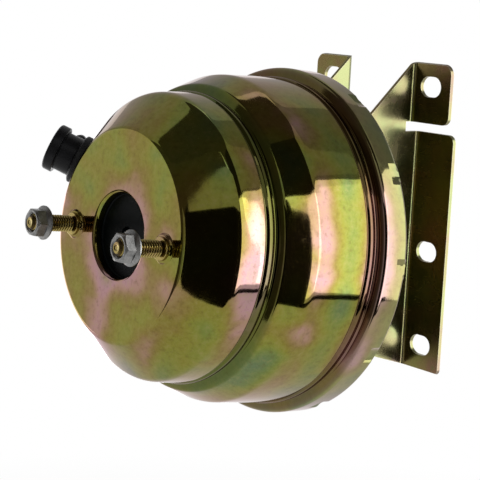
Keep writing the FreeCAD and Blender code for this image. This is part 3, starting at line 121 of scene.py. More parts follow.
def path_points(points, arc_step=6.0, run=3.0):
    """Dense polyline along (radius, y) or (radius, y, corner radius)."""
    out = []
    count = len(points)
    for i, p in enumerate(points):
        radius = p[2] if len(p) > 2 else 0.0
        if not radius or i in (0, count - 1):
            out.append(p[:2])
            continue
        u = unit(points[i - 1], p)
        v = unit(p, points[i + 1])
        turn = math.atan2(u[0] * v[1] - u[1] * v[0], u[0] * v[0] + u[1] * v[1])
        side = 1 if turn > 0 else -1
        cut = radius * math.tan(abs(turn) / 2)
        start = (p[0] - u[0] * cut, p[1] - u[1] * cut)
        centre = (start[0] - side * u[1] * radius, start[1] + side * u[0] * radius)
        a0 = math.atan2(start[1] - centre[1], start[0] - centre[0])
        n = max(3, int(abs(math.degrees(turn)) / arc_step))
        for k in range(n + 1):
            a = a0 + turn * k / n
            out.append((centre[0] + radius * math.cos(a), centre[1] + radius * math.sin(a)))
    dense = [out[0]]
    for a, b in zip(out, out[1:]):
        length = math.hypot(b[0] - a[0], b[1] - a[1])
        if length < 1e-6:
            continue
        n = max(1, int(length / run))
        for k in range(1, n + 1):
            dense.append((a[0] + (b[0] - a[0]) * k / n, a[1] + (b[1] - a[1]) * k / n))
    return dense


def offset_path(points, t):
    """The open path moved to its left by t, with its corner radii to match."""
    out = []
    count = len(points)
    for i, p in enumerate(points):
        u = unit(points[i - 1], p) if i else unit(p, points[1])
        v = unit(p, points[i + 1]) if i < count - 1 else u
        turn = u[0] * v[1] - u[1] * v[0]
        half = math.atan2(turn, u[0] * v[0] + u[1] * v[1]) / 2
        normal = (-(u[1] + v[1]), u[0] + v[0])
        n = math.hypot(*normal)
        reach = t / math.cos(half)
        radius = p[2] if len(p) > 2 else 0.0
        if radius:
            radius = max(0.0, radius - math.copysign(t, turn))
        out.append((p[0] + normal[0] / n * reach, p[1] + normal[1] / n * reach, radius))
    return out


def angles(count):
    return np.linspace(0, 2 * math.pi, count, endpoint=False)


def grid_quads(rows, columns, close_rows=False):
    """Quads of a grid whose columns run round and close; the rows close too if asked."""
    i, j = np.meshgrid(np.arange(rows if close_rows else rows - 1), np.arange(columns), indexing="ij")
    i2, j2 = (i + 1) % rows, (j + 1) % columns
    corners = [i * columns + j, i * columns + j2, i2 * columns + j2, i2 * columns + j]
    return np.stack(corners, -1).reshape(-1, 4)


def capped_faces(rows, columns):
    """Faces of a row of rings with both ends closed."""
    first = tuple(range(columns))
    last = tuple(range((rows - 1) * columns, rows * columns))
    return [tuple(q) for q in grid_quads(rows, columns)] + [first, last[::-1]]


def revolve(profile, closed, segments):
    """Vertices in the booster frame and quads of a profile of (radius, y) turned about Y."""
    pts = np.array(profile, float)
    a = angles(segments)
    verts = np.stack([
        np.outer(pts[:, 0], np.cos(a)),
        np.repeat(pts[:, 1:2], segments, 1),
        np.outer(pts[:, 0], np.sin(a)),
    ], -1).reshape(-1, 3)
    return verts, grid_quads(len(pts), segments, closed)


def sheet_skin(path, wall, segments, arc, run):
    """Sheet of even thickness turned about Y, from the path of its outside."""
    outer = path_points(path, arc, run)
    inner = path_points(offset_path(path, wall), arc, run)
    return revolve(outer + inner[::-1], True, segments)


# 3/8-16 thread of the front studs; the pitch and the depth serve the others too
THREAD_R = 4.7
THREAD_PITCH = 1.5875
THREAD_DEPTH = 0.85

# node helpers

class Tree:
    """Short hand for building a material."""

    def __init__(self, name):
        self.mat = bpy.data.materials.new(name)
        self.mat.use_nodes = True
        self.nodes = self.mat.node_tree.nodes
        self.links = self.mat.node_tree.links
        self.bsdf = self.nodes["Principled BSDF"]

    def node(self, kind, **settings):
        n = self.nodes.new(kind)
        for k, v in settings.items():
            setattr(n, k, v)
        return n

    def link(self, a, b):
        self.links.new(a, b)

    def feed(self, socket, value):
        """A number, a colour, a vector or the output of a node goes into a socket."""
        if isinstance(value, (int, float)):
            socket.default_value = value
        elif isinstance(value, tuple):
            colour = len(value) == 3 and socket.type == "RGBA"
            socket.default_value = (*value, 1) if colour else value
        else:
            self.link(value, socket)

    def feed_all(self, node, **values):
        for k, v in values.items():
            self.feed(node.inputs[k.replace("_", " ")], v)

    def set(self, **values):
        self.feed_all(self.bsdf, **values)

    def surface(self, shader):
        self.link(shader, self.nodes["Material Output"].inputs["Surface"])

    def math(self, op, a, b=None, clamp=False):
        n = self.node("ShaderNodeMath", operation=op, use_clamp=clamp)
        self.feed(n.inputs[0], a)
        if b is not None:
            self.feed(n.inputs[1], b)
        return n.outputs[0]

    def add(self, *terms):
        total = terms[0]
        for v in terms[1:]:
            total = self.math("ADD", total, v)
        return total

    def times(self, *terms):
        product = terms[0]
        for v in terms[1:]:
            product = self.math("MULTIPLY", product, v)
        return product

    def remap(self, value, a, b, c=0.0, d=1.0):
        """The range a to b becomes c to d, and stops there."""
        n = self.node("ShaderNodeMapRange")
        self.feed_all(n, Value=value, From_Min=a, From_Max=b, To_Min=c, To_Max=d)
        return n.outputs["Result"]

    def noise(self, vector, scale, detail=3.0, rough=0.5, distort=0.0):
        n = self.node("ShaderNodeTexNoise")
        self.feed_all(n, Vector=vector, Scale=scale, Detail=detail, Roughness=rough, Distortion=distort)
        return n.outputs["Fac"]

    def ramp(self, value, stops, mode="EASE"):
        n = self.node("ShaderNodeValToRGB")
        n.color_ramp.interpolation = mode
        el = n.color_ramp.elements
        while len(el) > 1:
            el.remove(el[-1])
        el[0].position, el[0].color = stops[0][0], (*stops[0][1], 1)
        for p, c in stops[1:]:
            el.new(p).color = (*c, 1)
        self.link(value, n.inputs["Fac"])
        return n.outputs["Color"]

    def mix(self, fac, a, b):
        n = self.node("ShaderNodeMix", data_type="RGBA")
        colours = [s for s in n.inputs if s.type == "RGBA"]
        self.feed(n.inputs["Factor"], fac)
        self.feed(colours[0], a)
        self.feed(colours[1], b)
        return [s for s in n.outputs if s.type == "RGBA"][0]

    def object_mm(self):
        """Row-frame position in mm."""
        coord = self.node("ShaderNodeTexCoord")
        scale = self.node("ShaderNodeVectorMath", operation="SCALE")
        scale.inputs["Scale"].default_value = 1000.0
        self.link(coord.outputs["Object"], scale.inputs[0])
        return scale.outputs[0]

    def booster_mm(self):
        """x, y, z in the booster frame, mm."""
        shift = self.node("ShaderNodeVectorMath", operation="SUBTRACT")
        shift.inputs[1].default_value = tuple(PLACE.translation * 1000)
        self.link(self.object_mm(), shift.inputs[0])
        turn = self.node("ShaderNodeVectorRotate", rotation_type="X_AXIS")
        turn.inputs["Angle"].default_value = TILT
        self.link(shift.outputs[0], turn.inputs["Vector"])
        return turn.outputs[0]

    def polar(self):
        """Radius in mm, y in mm, angle in radians from +X towards +Z, round the booster's axis."""
        split = self.node("ShaderNodeSeparateXYZ")
        self.link(self.booster_mm(), split.inputs[0])
        x, y, z = split.outputs
        rr = self.add(self.times(x, x), self.times(z, z))
        return self.math("SQRT", rr), y, self.math("ARCTAN2", z, x)

    def vector_scaled(self, v, factors):
        n = self.node("ShaderNodeVectorMath", operation="MULTIPLY")
        self.link(v, n.inputs[0])
        n.inputs[1].default_value = factors
        return n.outputs[0]

    def bump(self, height, distance, strength=1.0, normal=None):
        n = self.node("ShaderNodeBump")
        self.feed_all(n, Distance=distance, Strength=strength, Height=height)
        if normal is not None:
            self.link(normal, n.inputs["Normal"])
        return n.outputs["Normal"]


# colours of the zinc's film, from its thinnest to its thickest
SLATE = (0.100, 0.150, 0.105)
GREEN = (0.130, 0.185, 0.044)
LIME = (0.215, 0.215, 0.034)
OLIVE = (0.195, 0.160, 0.030)
BROWN = (0.225, 0.152, 0.050)
PINK = (0.370, 0.215, 0.175)
MAUVE = (0.375, 0.205, 0.260)
FILM = [
    (0.24, SLATE), (0.34, GREEN), (0.42, LIME), (0.48, OLIVE), (0.53, BROWN), (0.585, PINK), (0.65, MAUVE),
    (0.76, LIME), (0.86, GREEN),
]


def yellow_zinc_shell():
    """Passivated zinc on a deep pressing: mirror gloss, colours that drift with the film's thickness."""
    t = Tree("yellow_zinc_shell")
    p = t.booster_mm()
    r, y, a = t.polar()
    wide = t.noise(p, 0.015, 1.5, 0.5, 0.9)
    patch = t.noise(p, 0.040, 2.0, 0.5, 0.6)
    run = t.noise(t.vector_scaled(p, (1.0, 0.3, 1.0)), 0.034, 2.0, 0.5)
    # bands along the axis, strongest on the +X side, and none on the face
    side = t.math("MAXIMUM", t.math("COSINE", a), 0.0)
    band = t.math("SINE", t.add(t.times(y, 0.18), 1.90))
    strong = t.add(t.times(side, side, 0.075), 0.022)
    band = t.times(band, strong, t.remap(y, 4.0, 26.0))
    film = t.add(
        t.times(wide, 0.52), t.times(patch, 0.18), t.times(run, 0.20),
        t.times(side, t.remap(y, 8.0, 24.0), 0.072), band, 0.010,
        t.times(side, t.remap(y, 54.0, 62.0, 0.030, 0.0)),
    )
    # thicker round the hub, thinner at the top and the bottom of the drums
    hub = t.times(t.remap(r, 25.0, 38.0, 0.11, 0.0), t.remap(r, 23.4, 25.4))
    steep = t.times(t.math("ABSOLUTE", t.math("SINE", a)), t.remap(y, 8.0, 24.0, 0.0, 0.105))
    film = t.math("SUBTRACT", t.add(film, hub), steep)
    colour = t.ramp(film, FILM, "B_SPLINE")
    cloud = t.noise(p, 0.30, 5.0, 0.65)
    colour = t.mix(t.remap(cloud, 0.50, 0.78, 0.0, 0.45), colour, (0.300, 0.255, 0.095))
    colour = t.mix(t.remap(cloud, 0.48, 0.24, 0.0, 0.55), colour, (0.105, 0.072, 0.022))
    fleck = t.noise(p, 1.3, 3.0, 0.7)
    colour = t.mix(t.remap(fleck, 0.52, 0.80, 0.0, 0.30), colour, (0.320, 0.290, 0.160))
    colour = t.mix(t.remap(r, 96.5, 98.0, 0.0, 0.24), colour, (0.340, 0.315, 0.255))
    # painted shade: darker in both grooves
    groove = t.times(t.remap(y, 35.9, 37.4), t.remap(y, 47.5, 45.0, 0.0, 0.72))
    colour = t.mix(groove, colour, (0.062, 0.080, 0.020))
    groove = t.times(t.remap(y, 94.9, 96.4), t.remap(y, 104.6, 103.4, 0.0, 0.70))
    colour = t.mix(groove, colour, (0.100, 0.055, 0.032))
    grain = t.noise(p, 2.4, 3.0, 0.6)
    rough = t.remap(grain, 0.3, 0.7, 0.035, 0.075)
    rough = t.add(rough, t.remap(cloud, 0.60, 0.80, 0.0, 0.07))
    t.set(Base_Color=colour, Metallic=1.0, Roughness=rough, Specular_Tint=(1.0, 0.86, 0.92))
    wave = t.noise(p, 0.036, 2.0, 0.5)
    swell = t.bump(wave, 0.00022, 0.6)
    t.set(Normal=t.bump(grain, 0.000008, 0.25, swell))
    return t.mat


def yellow_zinc_bracket():
    """The same plating on thick plate: satin, with painted light: a paler lit copy on the webs, the faces
    along X, a darker shaded copy on the flanges, and painted highlights on the edges.
    """
    t = Tree("yellow_zinc_bracket")
    p = t.object_mm()
    wide = t.noise(p, 0.020, 2.0, 0.5, 1.0)
    patch = t.noise(p, 0.070, 2.0, 0.55, 0.6)
    film = t.add(t.times(wide, 0.7), t.times(patch, 0.3))
    flange_shaded_copy = t.ramp(film, [
        (0.32, (0.120, 0.135, 0.040)), (0.44, (0.165, 0.150, 0.045)), (0.54, (0.180, 0.135, 0.050)),
        (0.64, (0.185, 0.110, 0.060)), (0.72, (0.130, 0.135, 0.045)),
    ])
    web_lit_copy = t.ramp(film, [
        (0.32, (0.200, 0.245, 0.115)), (0.44, (0.265, 0.285, 0.130)), (0.54, (0.270, 0.245, 0.120)),
        (0.64, (0.270, 0.200, 0.145)), (0.72, (0.200, 0.220, 0.105)),
    ])
    flat = t.node("ShaderNodeNewGeometry")
    faces = t.node("ShaderNodeSeparateXYZ")
    t.link(flat.outputs["True Normal"], faces.inputs[0])
    # painted light: the webs, facing along X, get the paler lit copy and the rest the darker shaded copy
    colour = t.mix(t.remap(t.math("ABSOLUTE", faces.outputs[0]), 0.3, 0.9), flange_shaded_copy, web_lit_copy)
    # painted highlight: a pale colour on the edges, where a rounded normal leaves the true one
    round_off = t.node("ShaderNodeBevel", samples=4)
    t.feed_all(round_off, Radius=0.0007)
    along = t.node("ShaderNodeVectorMath", operation="DOT_PRODUCT")
    t.link(round_off.outputs[0], along.inputs[0])
    t.link(flat.outputs["Normal"], along.inputs[1])
    edge_highlight = t.remap(along.outputs["Value"], 0.98, 0.82)
    colour = t.mix(t.times(edge_highlight, 0.75), colour, (0.52, 0.46, 0.36))
    grain = t.noise(p, 1.6, 4.0, 0.65)
    scuff = t.noise(t.vector_scaled(p, (0.12, 1.0, 1.0)), 1.1, 3.0, 0.7)
    rough = t.remap(patch, 0.3, 0.7, 0.20, 0.30)
    rough = t.add(rough, t.remap(scuff, 0.62, 0.8, 0.0, 0.10))
    t.set(Base_Color=colour, Metallic=1.0, Roughness=rough)
    t.set(Normal=t.bump(grain, 0.00001, 0.15))
    return t.mat


def shade(colour, factor):
    return tuple(c * factor for c in colour)


def plated_steel(name, base, rough_lo, rough_hi, tint=None):
    t = Tree(name)
    p = t.object_mm()
    wide = t.noise(p, 0.22, 3.0, 0.6, 0.6)
    grain = t.noise(p, 3.0, 2.0, 0.6)
    colour = t.ramp(wide, [(0.35, shade(base, 0.72)), (0.5, base), (0.68, tint or base)])
    t.set(Base_Color=colour, Metallic=1.0, Roughness=t.remap(grain, 0.3, 0.7, rough_lo, rough_hi))
    t.set(Normal=t.bump(grain, 0.00003, 0.35))
    return t.mat


def rubber(name, base, rough, shine=0.28):
    t = Tree(name)
    p = t.object_mm()
    wide = t.noise(p, 0.3, 3.0, 0.6)
    grain = t.noise(p, 6.0, 3.0, 0.7)
    colour = t.ramp(wide, [(0.3, shade(base, 0.7)), (0.55, base), (0.75, shade(base, 1.6))])
    rough = t.remap(grain, 0.3, 0.7, rough - 0.08, rough + 0.12)
    t.set(Base_Color=colour, Metallic=0.0, Roughness=rough, Specular_IOR_Level=shine)
    t.set(Normal=t.bump(grain, 0.00004, 0.5))
    return t.mat


def felt(name, base):
    t = Tree(name)
    p = t.object_mm()
    fibre = t.noise(p, 5.0, 5.0, 0.8, 1.5)
    t.set(Base_Color=t.ramp(fibre, [(0.3, shade(base, 0.6)), (0.7, base)]), Roughness=0.95)
    t.set(Normal=t.bump(fibre, 0.0004, 0.8))
    return t.mat


ZINC = yellow_zinc_shell()
ZINC_BRACKET = yellow_zinc_bracket()
SILVER = plated_steel("silver_zinc", (0.235, 0.235, 0.230), 0.26, 0.42, (0.305, 0.300, 0.290))
STUD = plated_steel("stud_zinc", (0.36, 0.28, 0.085), 0.16, 0.28, (0.34, 0.22, 0.11))
# painted shade: a dark copy of the stud plating for the faces in the bottom of the threads
THREAD_ROOT_SHADE = plated_steel("thread_root_painted_shade", (0.070, 0.048, 0.016), 0.34, 0.48, (0.050, 0.032, 0.018))
SPRING = plated_steel("spring_steel", (0.34, 0.34, 0.35), 0.26, 0.40)
PLAIN = plated_steel("plain_steel", (0.56, 0.56, 0.56), 0.24, 0.38)
RUBBER = rubber("black_rubber", (0.010, 0.010, 0.011), 0.50)
PLASTIC = rubber("black_plastic", (0.005, 0.005, 0.006), 0.30, 0.17)
# partly painted shade: the hub seal is black rubber, made darker and less glossy than the other rubber to
# stand for the shade deep in the hub
HUB_SEAL_RUBBER_AND_SHADE = rubber("hub_seal_rubber_and_painted_shade", (0.002, 0.003, 0.003), 0.42, 0.05)
PHENOLIC = rubber("phenolic", (0.045, 0.038, 0.030), 0.45)
WHITE = rubber("white_plastic", (0.55, 0.54, 0.50), 0.40)
FELT = felt("felt", (0.30, 0.30, 0.28))

BY_SLOT = {
    "yellow_zinc": ZINC, "bracket_zinc": ZINC_BRACKET, "silver_zinc": SILVER, "stud_zinc": STUD,
    "spring_steel": SPRING, "plain_steel": PLAIN, "black_rubber": RUBBER, "black_plastic": PLASTIC,
    "phenolic": PHENOLIC, "white_plastic": WHITE, "foam": FELT,
}
slot_of = {s["node"]: s["material_slot"] for s in frame["record"]["subparts"]}
for name, obj in nodes.items():
    obj.data.materials.clear()
    obj.data.materials.append(HUB_SEAL_RUBBER_AND_SHADE if name == "hub_seal" else BY_SLOT[slot_of[name]])

# front shell

SHEET = 1.6
SHELL_PATH = [
    (23.2, 4.6), (23.2, 0.0, 2.2), (58.4, 0.0, 4.0), (79.4, 21.3, 8.0), (81.2, 42.0, 1.8),
    (79.5, 43.8, 1.2), (85.7, 45.9, 2.4), (92.5, 61.6, 12.0), (94.4, 101.0, 1.8), (93.04, 102.44, 1.2),
    (100.2, 103.88, 2.6), (100.2, 118.68, 2.6), (98.3, 121.08),
]
# the rolled bead beside each groove, on the outside only
BEAD_1 = [(80.72, 36.6, 0.8), (80.0, 37.5, 0.7), (81.4, 39.0, 1.8), (81.4, 41.3, 1.8)]
BEAD_2 = [(94.1, 95.6, 0.8), (93.4, 96.5, 0.7), (94.7, 98.0, 1.8), (94.7, 100.3, 1.8)]
BEADED_PATH = SHELL_PATH[:4] + BEAD_1 + SHELL_PATH[5:8] + BEAD_2 + SHELL_PATH[9:]
SHELL_SEGMENTS = 1080
RING_R = 100.2
CRIMPS = 12
CRIMP_FROM = 112.9  # y at which the dents in the ring begin
CRIMP_GAP = 0.06  # half the width of the step there
CRIMP_DEPTH = 2.0
CRIMP_ROUND = 9.0  # radius of the bar that presses them
INSIDE_RING = 90.0
HALF_SPREAD = 42.8625  # from the axis to a stud
PAIR = (-HALF_SPREAD, HALF_SPREAD)
PAD_R, PAD_T, PAD_SLOPE = 8.4, 1.5, 1.3
FACE_STEP = 0.45


def smooth_step(t):
    t = np.clip(t, 0, 1)
    return t * t * (3 - 2 * t)


def crimped_ring(outer):
    """The outer path with two close rows where the dents begin."""
    ahead = [p for p in outer if p[1] < CRIMP_FROM - 0.2 or p[0] < INSIDE_RING]
    behind = [p for p in outer if p[1] >= CRIMP_FROM + 0.4 and p[0] > INSIDE_RING]
    return ahead + [(RING_R, CRIMP_FROM - CRIMP_GAP), (RING_R, CRIMP_FROM + CRIMP_GAP)] + behind


def press_crimps(verts):
    r = np.hypot(verts[:, 0], verts[:, 2])
    a = np.arctan2(verts[:, 2], verts[:, 0])
    step = 2 * math.pi / CRIMPS
    across = r * np.sin((a + step / 2) % step - step / 2)
    centre = RING_R - CRIMP_DEPTH + CRIMP_ROUND
    reach = np.sqrt(np.maximum(CRIMP_ROUND ** 2 - across ** 2, 0))
    floor = np.where(np.abs(across) < CRIMP_ROUND, centre - reach, np.inf)
    pressed = (verts[:, 1] > CRIMP_FROM) & (r > INSIDE_RING) & (floor < r)
    scale = np.where(pressed, floor, r) / r
    verts[:, 0] *= scale
    verts[:, 2] *= scale


def pad_height(x, z):
    """Height of the pressed pad over the face, at a point of the face."""
    d = np.minimum(np.hypot(x - HALF_SPREAD, z), np.hypot(x + HALF_SPREAD, z))
    return PAD_T * smooth_step((PAD_R - d) / PAD_SLOPE)


def build_front_shell():
    outer = crimped_ring(path_points(BEADED_PATH, 5.0, 2.5))
    inner = path_points(offset_path(SHELL_PATH, SHEET), 8.0, 4.0)
    verts, quads = revolve(outer + inner[::-1], True, SHELL_SEGMENTS)
    press_crimps(verts)
    # the flat face's quads make way for a fine polar grid with the pads
    face = [i for i, p in enumerate(outer) if abs(p[1]) < 1e-6]
    lo, hi = face[0], face[-1]
    row = np.repeat(np.arange(len(quads) // SHELL_SEGMENTS), SHELL_SEGMENTS)
    quads = quads[(row < lo) | (row >= hi)]
    radii = np.arange(outer[lo][0], outer[hi][0], FACE_STEP)[1:]
    a = angles(SHELL_SEGMENTS)
    x, z = np.outer(radii, np.cos(a)), np.outer(radii, np.sin(a))
    pads = np.stack([x, -pad_height(x, z), z], -1).reshape(-1, 3)
    column = np.arange(SHELL_SEGMENTS)
    rings = [lo * SHELL_SEGMENTS + column]
    rings += [len(verts) + k * SHELL_SEGMENTS + column for k in range(len(radii))]
    rings += [hi * SHELL_SEGMENTS + column]
    filled = [np.stack([p, np.roll(p, -1), np.roll(q, -1), q], -1) for p, q in zip(rings, rings[1:])]
    verts, quads = np.vstack([verts, pads]), np.vstack([quads] + filled)
    obj = new_object("front_shell_skin", to_row(verts), quads, [ZINC], "housing", 40.0)
    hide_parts("front_shell")


build_front_shell()

# rear shell

REAR_PATH = [
    (98.3, 112.78), (91.0, 112.78, 2.4), (87.0, 123.98, 8.0), (76.0, 130.98, 8.0), (21.0, 130.98, 2.4),
    (21.0, 151.98),
]


def build_rear_shell():
    outer = path_points(REAR_PATH, 6.0, 4.0)
    inner = path_points(offset_path(REAR_PATH, SHEET), 8.0, 6.0)
    verts, quads = revolve(outer + inner[::-1], True, 360)
    obj = new_object("rear_shell_skin", to_row(verts), quads, [ZINC], "housing", 40.0)
    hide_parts("rear_shell")


build_rear_shell()

# studs and nuts

CORNERS = [(x, z) for x in PAIR for z in PAIR]
REAR_THREAD_R = 4.6
FRONT_NUT_SEAT = -20.00
BRACKET_NUT_SEAT = 133.28


def thread_grid(r_crest, y0, y1, taper=0.8, segments=48, per_pitch=8):
    """Threaded bar along Y from y0 to y1 with closed ends, which narrow over `taper`."""
    rows = int(abs(y1 - y0) / THREAD_PITCH * per_pitch) + 1
    yy, aa = np.meshgrid(np.linspace(y0, y1, rows), angles(segments), indexing="ij")
    phase = (yy / THREAD_PITCH - aa / (2 * math.pi)) % 1.0
    cut = np.clip((np.abs(phase * 2 - 1) - 0.12) / 0.76, 0, 1)
    rr = r_crest - THREAD_DEPTH * cut
    end = np.minimum(np.abs(yy - y0), np.abs(yy - y1))
    rr = np.minimum(rr, r_crest - np.clip(taper - end, 0, None))
    verts = np.stack([rr * np.cos(aa), yy, rr * np.sin(aa)], -1).reshape(-1, 3)
    return verts, capped_faces(rows, segments)


def join(parts):
    """One vertex array and one face list from several."""
    verts, faces, base = [], [], 0
    for v, f in parts:
        verts.append(np.asarray(v, float))
        faces += [tuple(int(i) + base for i in q) for q in f]
        base += len(v)
    return np.vstack(verts), faces


def turned(path, segments=48):
    """Closed piece turned about Y, from a path that starts and ends on the axis."""
    return revolve([(max(r, 1e-4), y) for r, y in path_points(path, 15.0, 6.0)], False, segments)


def centre_end(y, out):
    """Chamfered end of a stud with its lathe centre; `out` is +1 or -1 along Y."""
    return turned([(0, y - 2.0 * out), (2.9, y - 2.0 * out), (2.7, y), (1.4, y), (0, y - 0.8 * out)], 32)


def build_studs():
    collar = turned([(0, 0.2), (5.3, 0.2), (5.3, -1.5), (6.4, -1.5), (6.4, -2.8, 0.4), (0, -2.8)], 64)
    head = turned([(0, 7.0), (7.3, 7.0), (8.5, 5.8), (8.5, 4.0), (5.7, 4.0), (5.7, 0.2), (0, 0.2)])
    thread = thread_grid(THREAD_R, -2.6, -29.4, 1.7)
    verts, faces = join([collar, head, thread, centre_end(-29.6, -1)])
    # painted shade on the faces in the bottom of the thread
    root_shade = root_shade_faces(verts, faces, THREAD_R, -29.35, -2.8)
    for k, x in enumerate(PAIR, 1):
        place = to_row(verts + (x, 0, 0))
        obj = new_object(f"front_stud_{k}", place, faces, [STUD, THREAD_ROOT_SHADE], "housing", 30.0, root_shade)
        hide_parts("mc_studs")


def build_rear_studs():
    body = turned([
        (0, 126.78), (7.0, 126.78), (8.0, 127.78), (8.0, 129.38), (5.1, 129.38), (5.1, 131.0), (0, 131.0),
    ])
    thread = thread_grid(REAR_THREAD_R, 130.9, 149.78, 1.7)
    verts, faces = join([body, thread, centre_end(149.98, 1)])
    # painted shade on the faces in the bottom of the thread
    root_shade = root_shade_faces(verts, faces, REAR_THREAD_R, 131.2, 149.7)
    for k, (x, z) in enumerate(CORNERS, 1):
        place = to_row(verts + (x, 0, z))
        obj = new_object(f"rear_stud_{k}", place, faces, [STUD, THREAD_ROOT_SHADE], "housing", 30.0, root_shade)
        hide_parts("rear_studs")


def nut_skin(flats, top, flange_r, flange_t, hole):
    """Flange nut from its seat at y = 0 up to y = top, chamfered, with a countersunk hole."""
    segments = 360
    a = angles(segments)
    sector = a % (math.pi / 3) - math.pi / 6
    hexagon = flats / 2 / np.cos(sector)
    corner = flats / 2 / math.cos(math.pi / 6)
    # radius, height, and whether the row follows the hexagon
    rows = [
        (hole, 0.0, False), (flange_r - 0.4, 0.0, False), (flange_r, 0.5, False),
        (flange_r, flange_t - 0.7, False), (flange_r - 0.3, flange_t - 0.35, False),
        (flats / 2 + 0.6, flange_t + 0.7, False),
    ]
    for y in np.concatenate([[flange_t + 0.7, flange_t + 1.4], np.linspace(top - 1.9, top - 0.1, 10)]):
        rows.append((corner - max(0.0, y - (top - 1.25)) * 1.55, y, True))
    rows += [(flats / 2 - 0.55, top, True), (hole + 0.95, top, False), (hole, top - 1.0, False)]
    rings = []
    for r, y, six in rows:
        rr = np.minimum(hexagon, r) if six else np.full(segments, r)
        rings.append(np.stack([rr * np.cos(a), np.full(segments, y), rr * np.sin(a)], -1))
    return np.vstack(rings), grid_quads(len(rings), segments, True)


def build_nuts():
    verts, quads = nut_skin(14.3, 8.6, 9.5, 1.8, 4.85)
    x, y, z = verts.T
    for k, dx in enumerate(PAIR, 1):
        place = to_row(np.stack([x + dx, FRONT_NUT_SEAT - y, z], -1))
        obj = new_object(f"front_nut_{k}", place, quads, [SILVER], "housing", 25.0)
        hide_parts("mc_nuts")
    for k, (dx, dz) in enumerate(CORNERS, 1):
        place = to_row(np.stack([x + dx, y + BRACKET_NUT_SEAT, z + dz], -1))
        obj = new_object(f"bracket_nut_{k}", place, quads, [SILVER], "housing", 25.0)
        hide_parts("bracket_nuts")


build_studs()
build_rear_studs()
build_nuts()

# push rod

ROD_COLLAR = (164.08, 165.48)
ROD_THREAD_R = 4.76
BALL_Y, BALL_R = 143.08, 4.5


def build_push_rod():
    ball = [(BALL_R * math.sin(a), BALL_Y - BALL_R * math.cos(a)) for a in np.linspace(0, 2.4, 14)]
    shaft = turned(ball + [
        (3.0, 150.08), (4.0, 152.08), (4.0, ROD_COLLAR[0]), (11.4, ROD_COLLAR[0], 0.4),
        (11.4, ROD_COLLAR[1], 0.4), (4.0, ROD_COLLAR[1]), (4.0, 186.0), (3.9, 186.4), (0, 186.4),
    ], 64)
    thread = thread_grid(ROD_THREAD_R, 186.0, 213.2)
    slim = turned([(0, 213.0), (4.55, 213.0), (4.55, 221.0), (3.35, 222.2), (1.7, 222.2), (0, 221.3)])
    verts, faces = join([shaft, thread, slim])
    obj = new_object("push_rod_skin", to_row(verts), faces, [PLAIN], "push_rod", 30.0)
    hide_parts("input_rod")


# dust boot: a cuff on the neck, the pleats, and the lip on the push rod

BOOT_T = 1.2
BOOT_FROM, BOOT_TO = 152.2, 187.54  # the pleated part
PLEATS_Y = 153.48
PLEATS = 4
PLEAT = 7.0


def build_boot():
    cuff = [
        (22.3, 141.98), (22.3, 143.0), (23.1, 143.6, 0.4), (23.1, 145.6, 0.4), (22.3, 146.2), (22.3, 152.6),
    ]
    verts, faces = sheet_skin(cuff, BOOT_T, 160, 10.0, 2.0)
    obj = new_object("boot_cuff", to_row(verts), faces, [RUBBER], "housing", 40.0)
    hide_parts("dust_boot")
    path = [(22.3, BOOT_FROM), (22.3, PLEATS_Y, 1.2)]
    for k in range(PLEATS):
        path.append((25.0, PLEATS_Y + PLEAT * (k + 0.3), 1.6))
        path.append((20.1, PLEATS_Y + PLEAT * (k + 0.8), 1.6))
    path += [(21.3, 183.08, 1.6), (13.0, BOOT_TO)]
    verts, faces = sheet_skin(path, BOOT_T, 160, 10.0, 1.2)
    obj = new_object("boot_pleats", to_row(verts), faces, [RUBBER], "housing", 40.0)
    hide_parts("dust_boot")
    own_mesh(obj)
    lip = [
        (12.6, 185.0), (10.6, 185.8, 0.6), (10.2, 188.2, 1.4), (6.36, 190.2, 1.4), (6.36, 194.4),
        (7.0, 195.0, 0.4), (7.0, 196.4, 0.4), (6.36, 197.08),
    ]
    verts, faces = sheet_skin(lip, BOOT_T, 96, 10.0, 1.2)
    obj = new_object("boot_lip", to_row(verts), faces, [RUBBER], "push_rod", 40.0)
    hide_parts("dust_boot")


def coil_spring(name, node, body, y0, y1, mean, wire, turns):
    """Compression spring with ground ends, from y0 to y1."""
    rows, columns = int(turns * 60), 12
    a = np.linspace(0, 2 * math.pi * turns, rows)
    y = np.linspace(y0 + wire * 0.3, y1 - wire * 0.3, rows)
    aa, bb = np.meshgrid(a, angles(columns), indexing="ij")
    rr = mean + wire * np.cos(bb)
    yy = np.clip(y[:, None] + wire * np.sin(bb), y0, y1)
    verts = np.stack([rr * np.cos(aa), yy, rr * np.sin(aa)], -1).reshape(-1, 3)
    faces = capped_faces(rows, columns)
    obj = new_object(name, to_row(verts), faces, [SPRING], body, 40.0)
    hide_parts(node)
    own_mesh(obj)


build_push_rod()
build_boot()
coil_spring(
    "return_spring_coil", "return_spring", "housing",
    y0=3.47, y1=62.36, mean=31.0, wire=1.6, turns=5.5,
)
coil_spring(
    "rod_spring_coil", "rod_spring", "power_piston",
    y0=154.18, y1=163.5, mean=9.6, wire=0.75, turns=2.5,
)

# stage, light, camera

MIDDLE = Vector((0.0, -0.12, 0.03))
FLOOR_Z = -0.62
FLOOR_HALF = 9
PLAIN_WHITE = (1.0, 1.0, 1.0)
DARK_CLOTH = (1.0, 0.85, 0.7)
ROOM_STRENGTH = 0.42


def glow(tree, colour, strength):
    n = tree.node("ShaderNodeEmission")
    tree.feed_all(n, Color=colour, Strength=strength)
    return n.outputs[0]


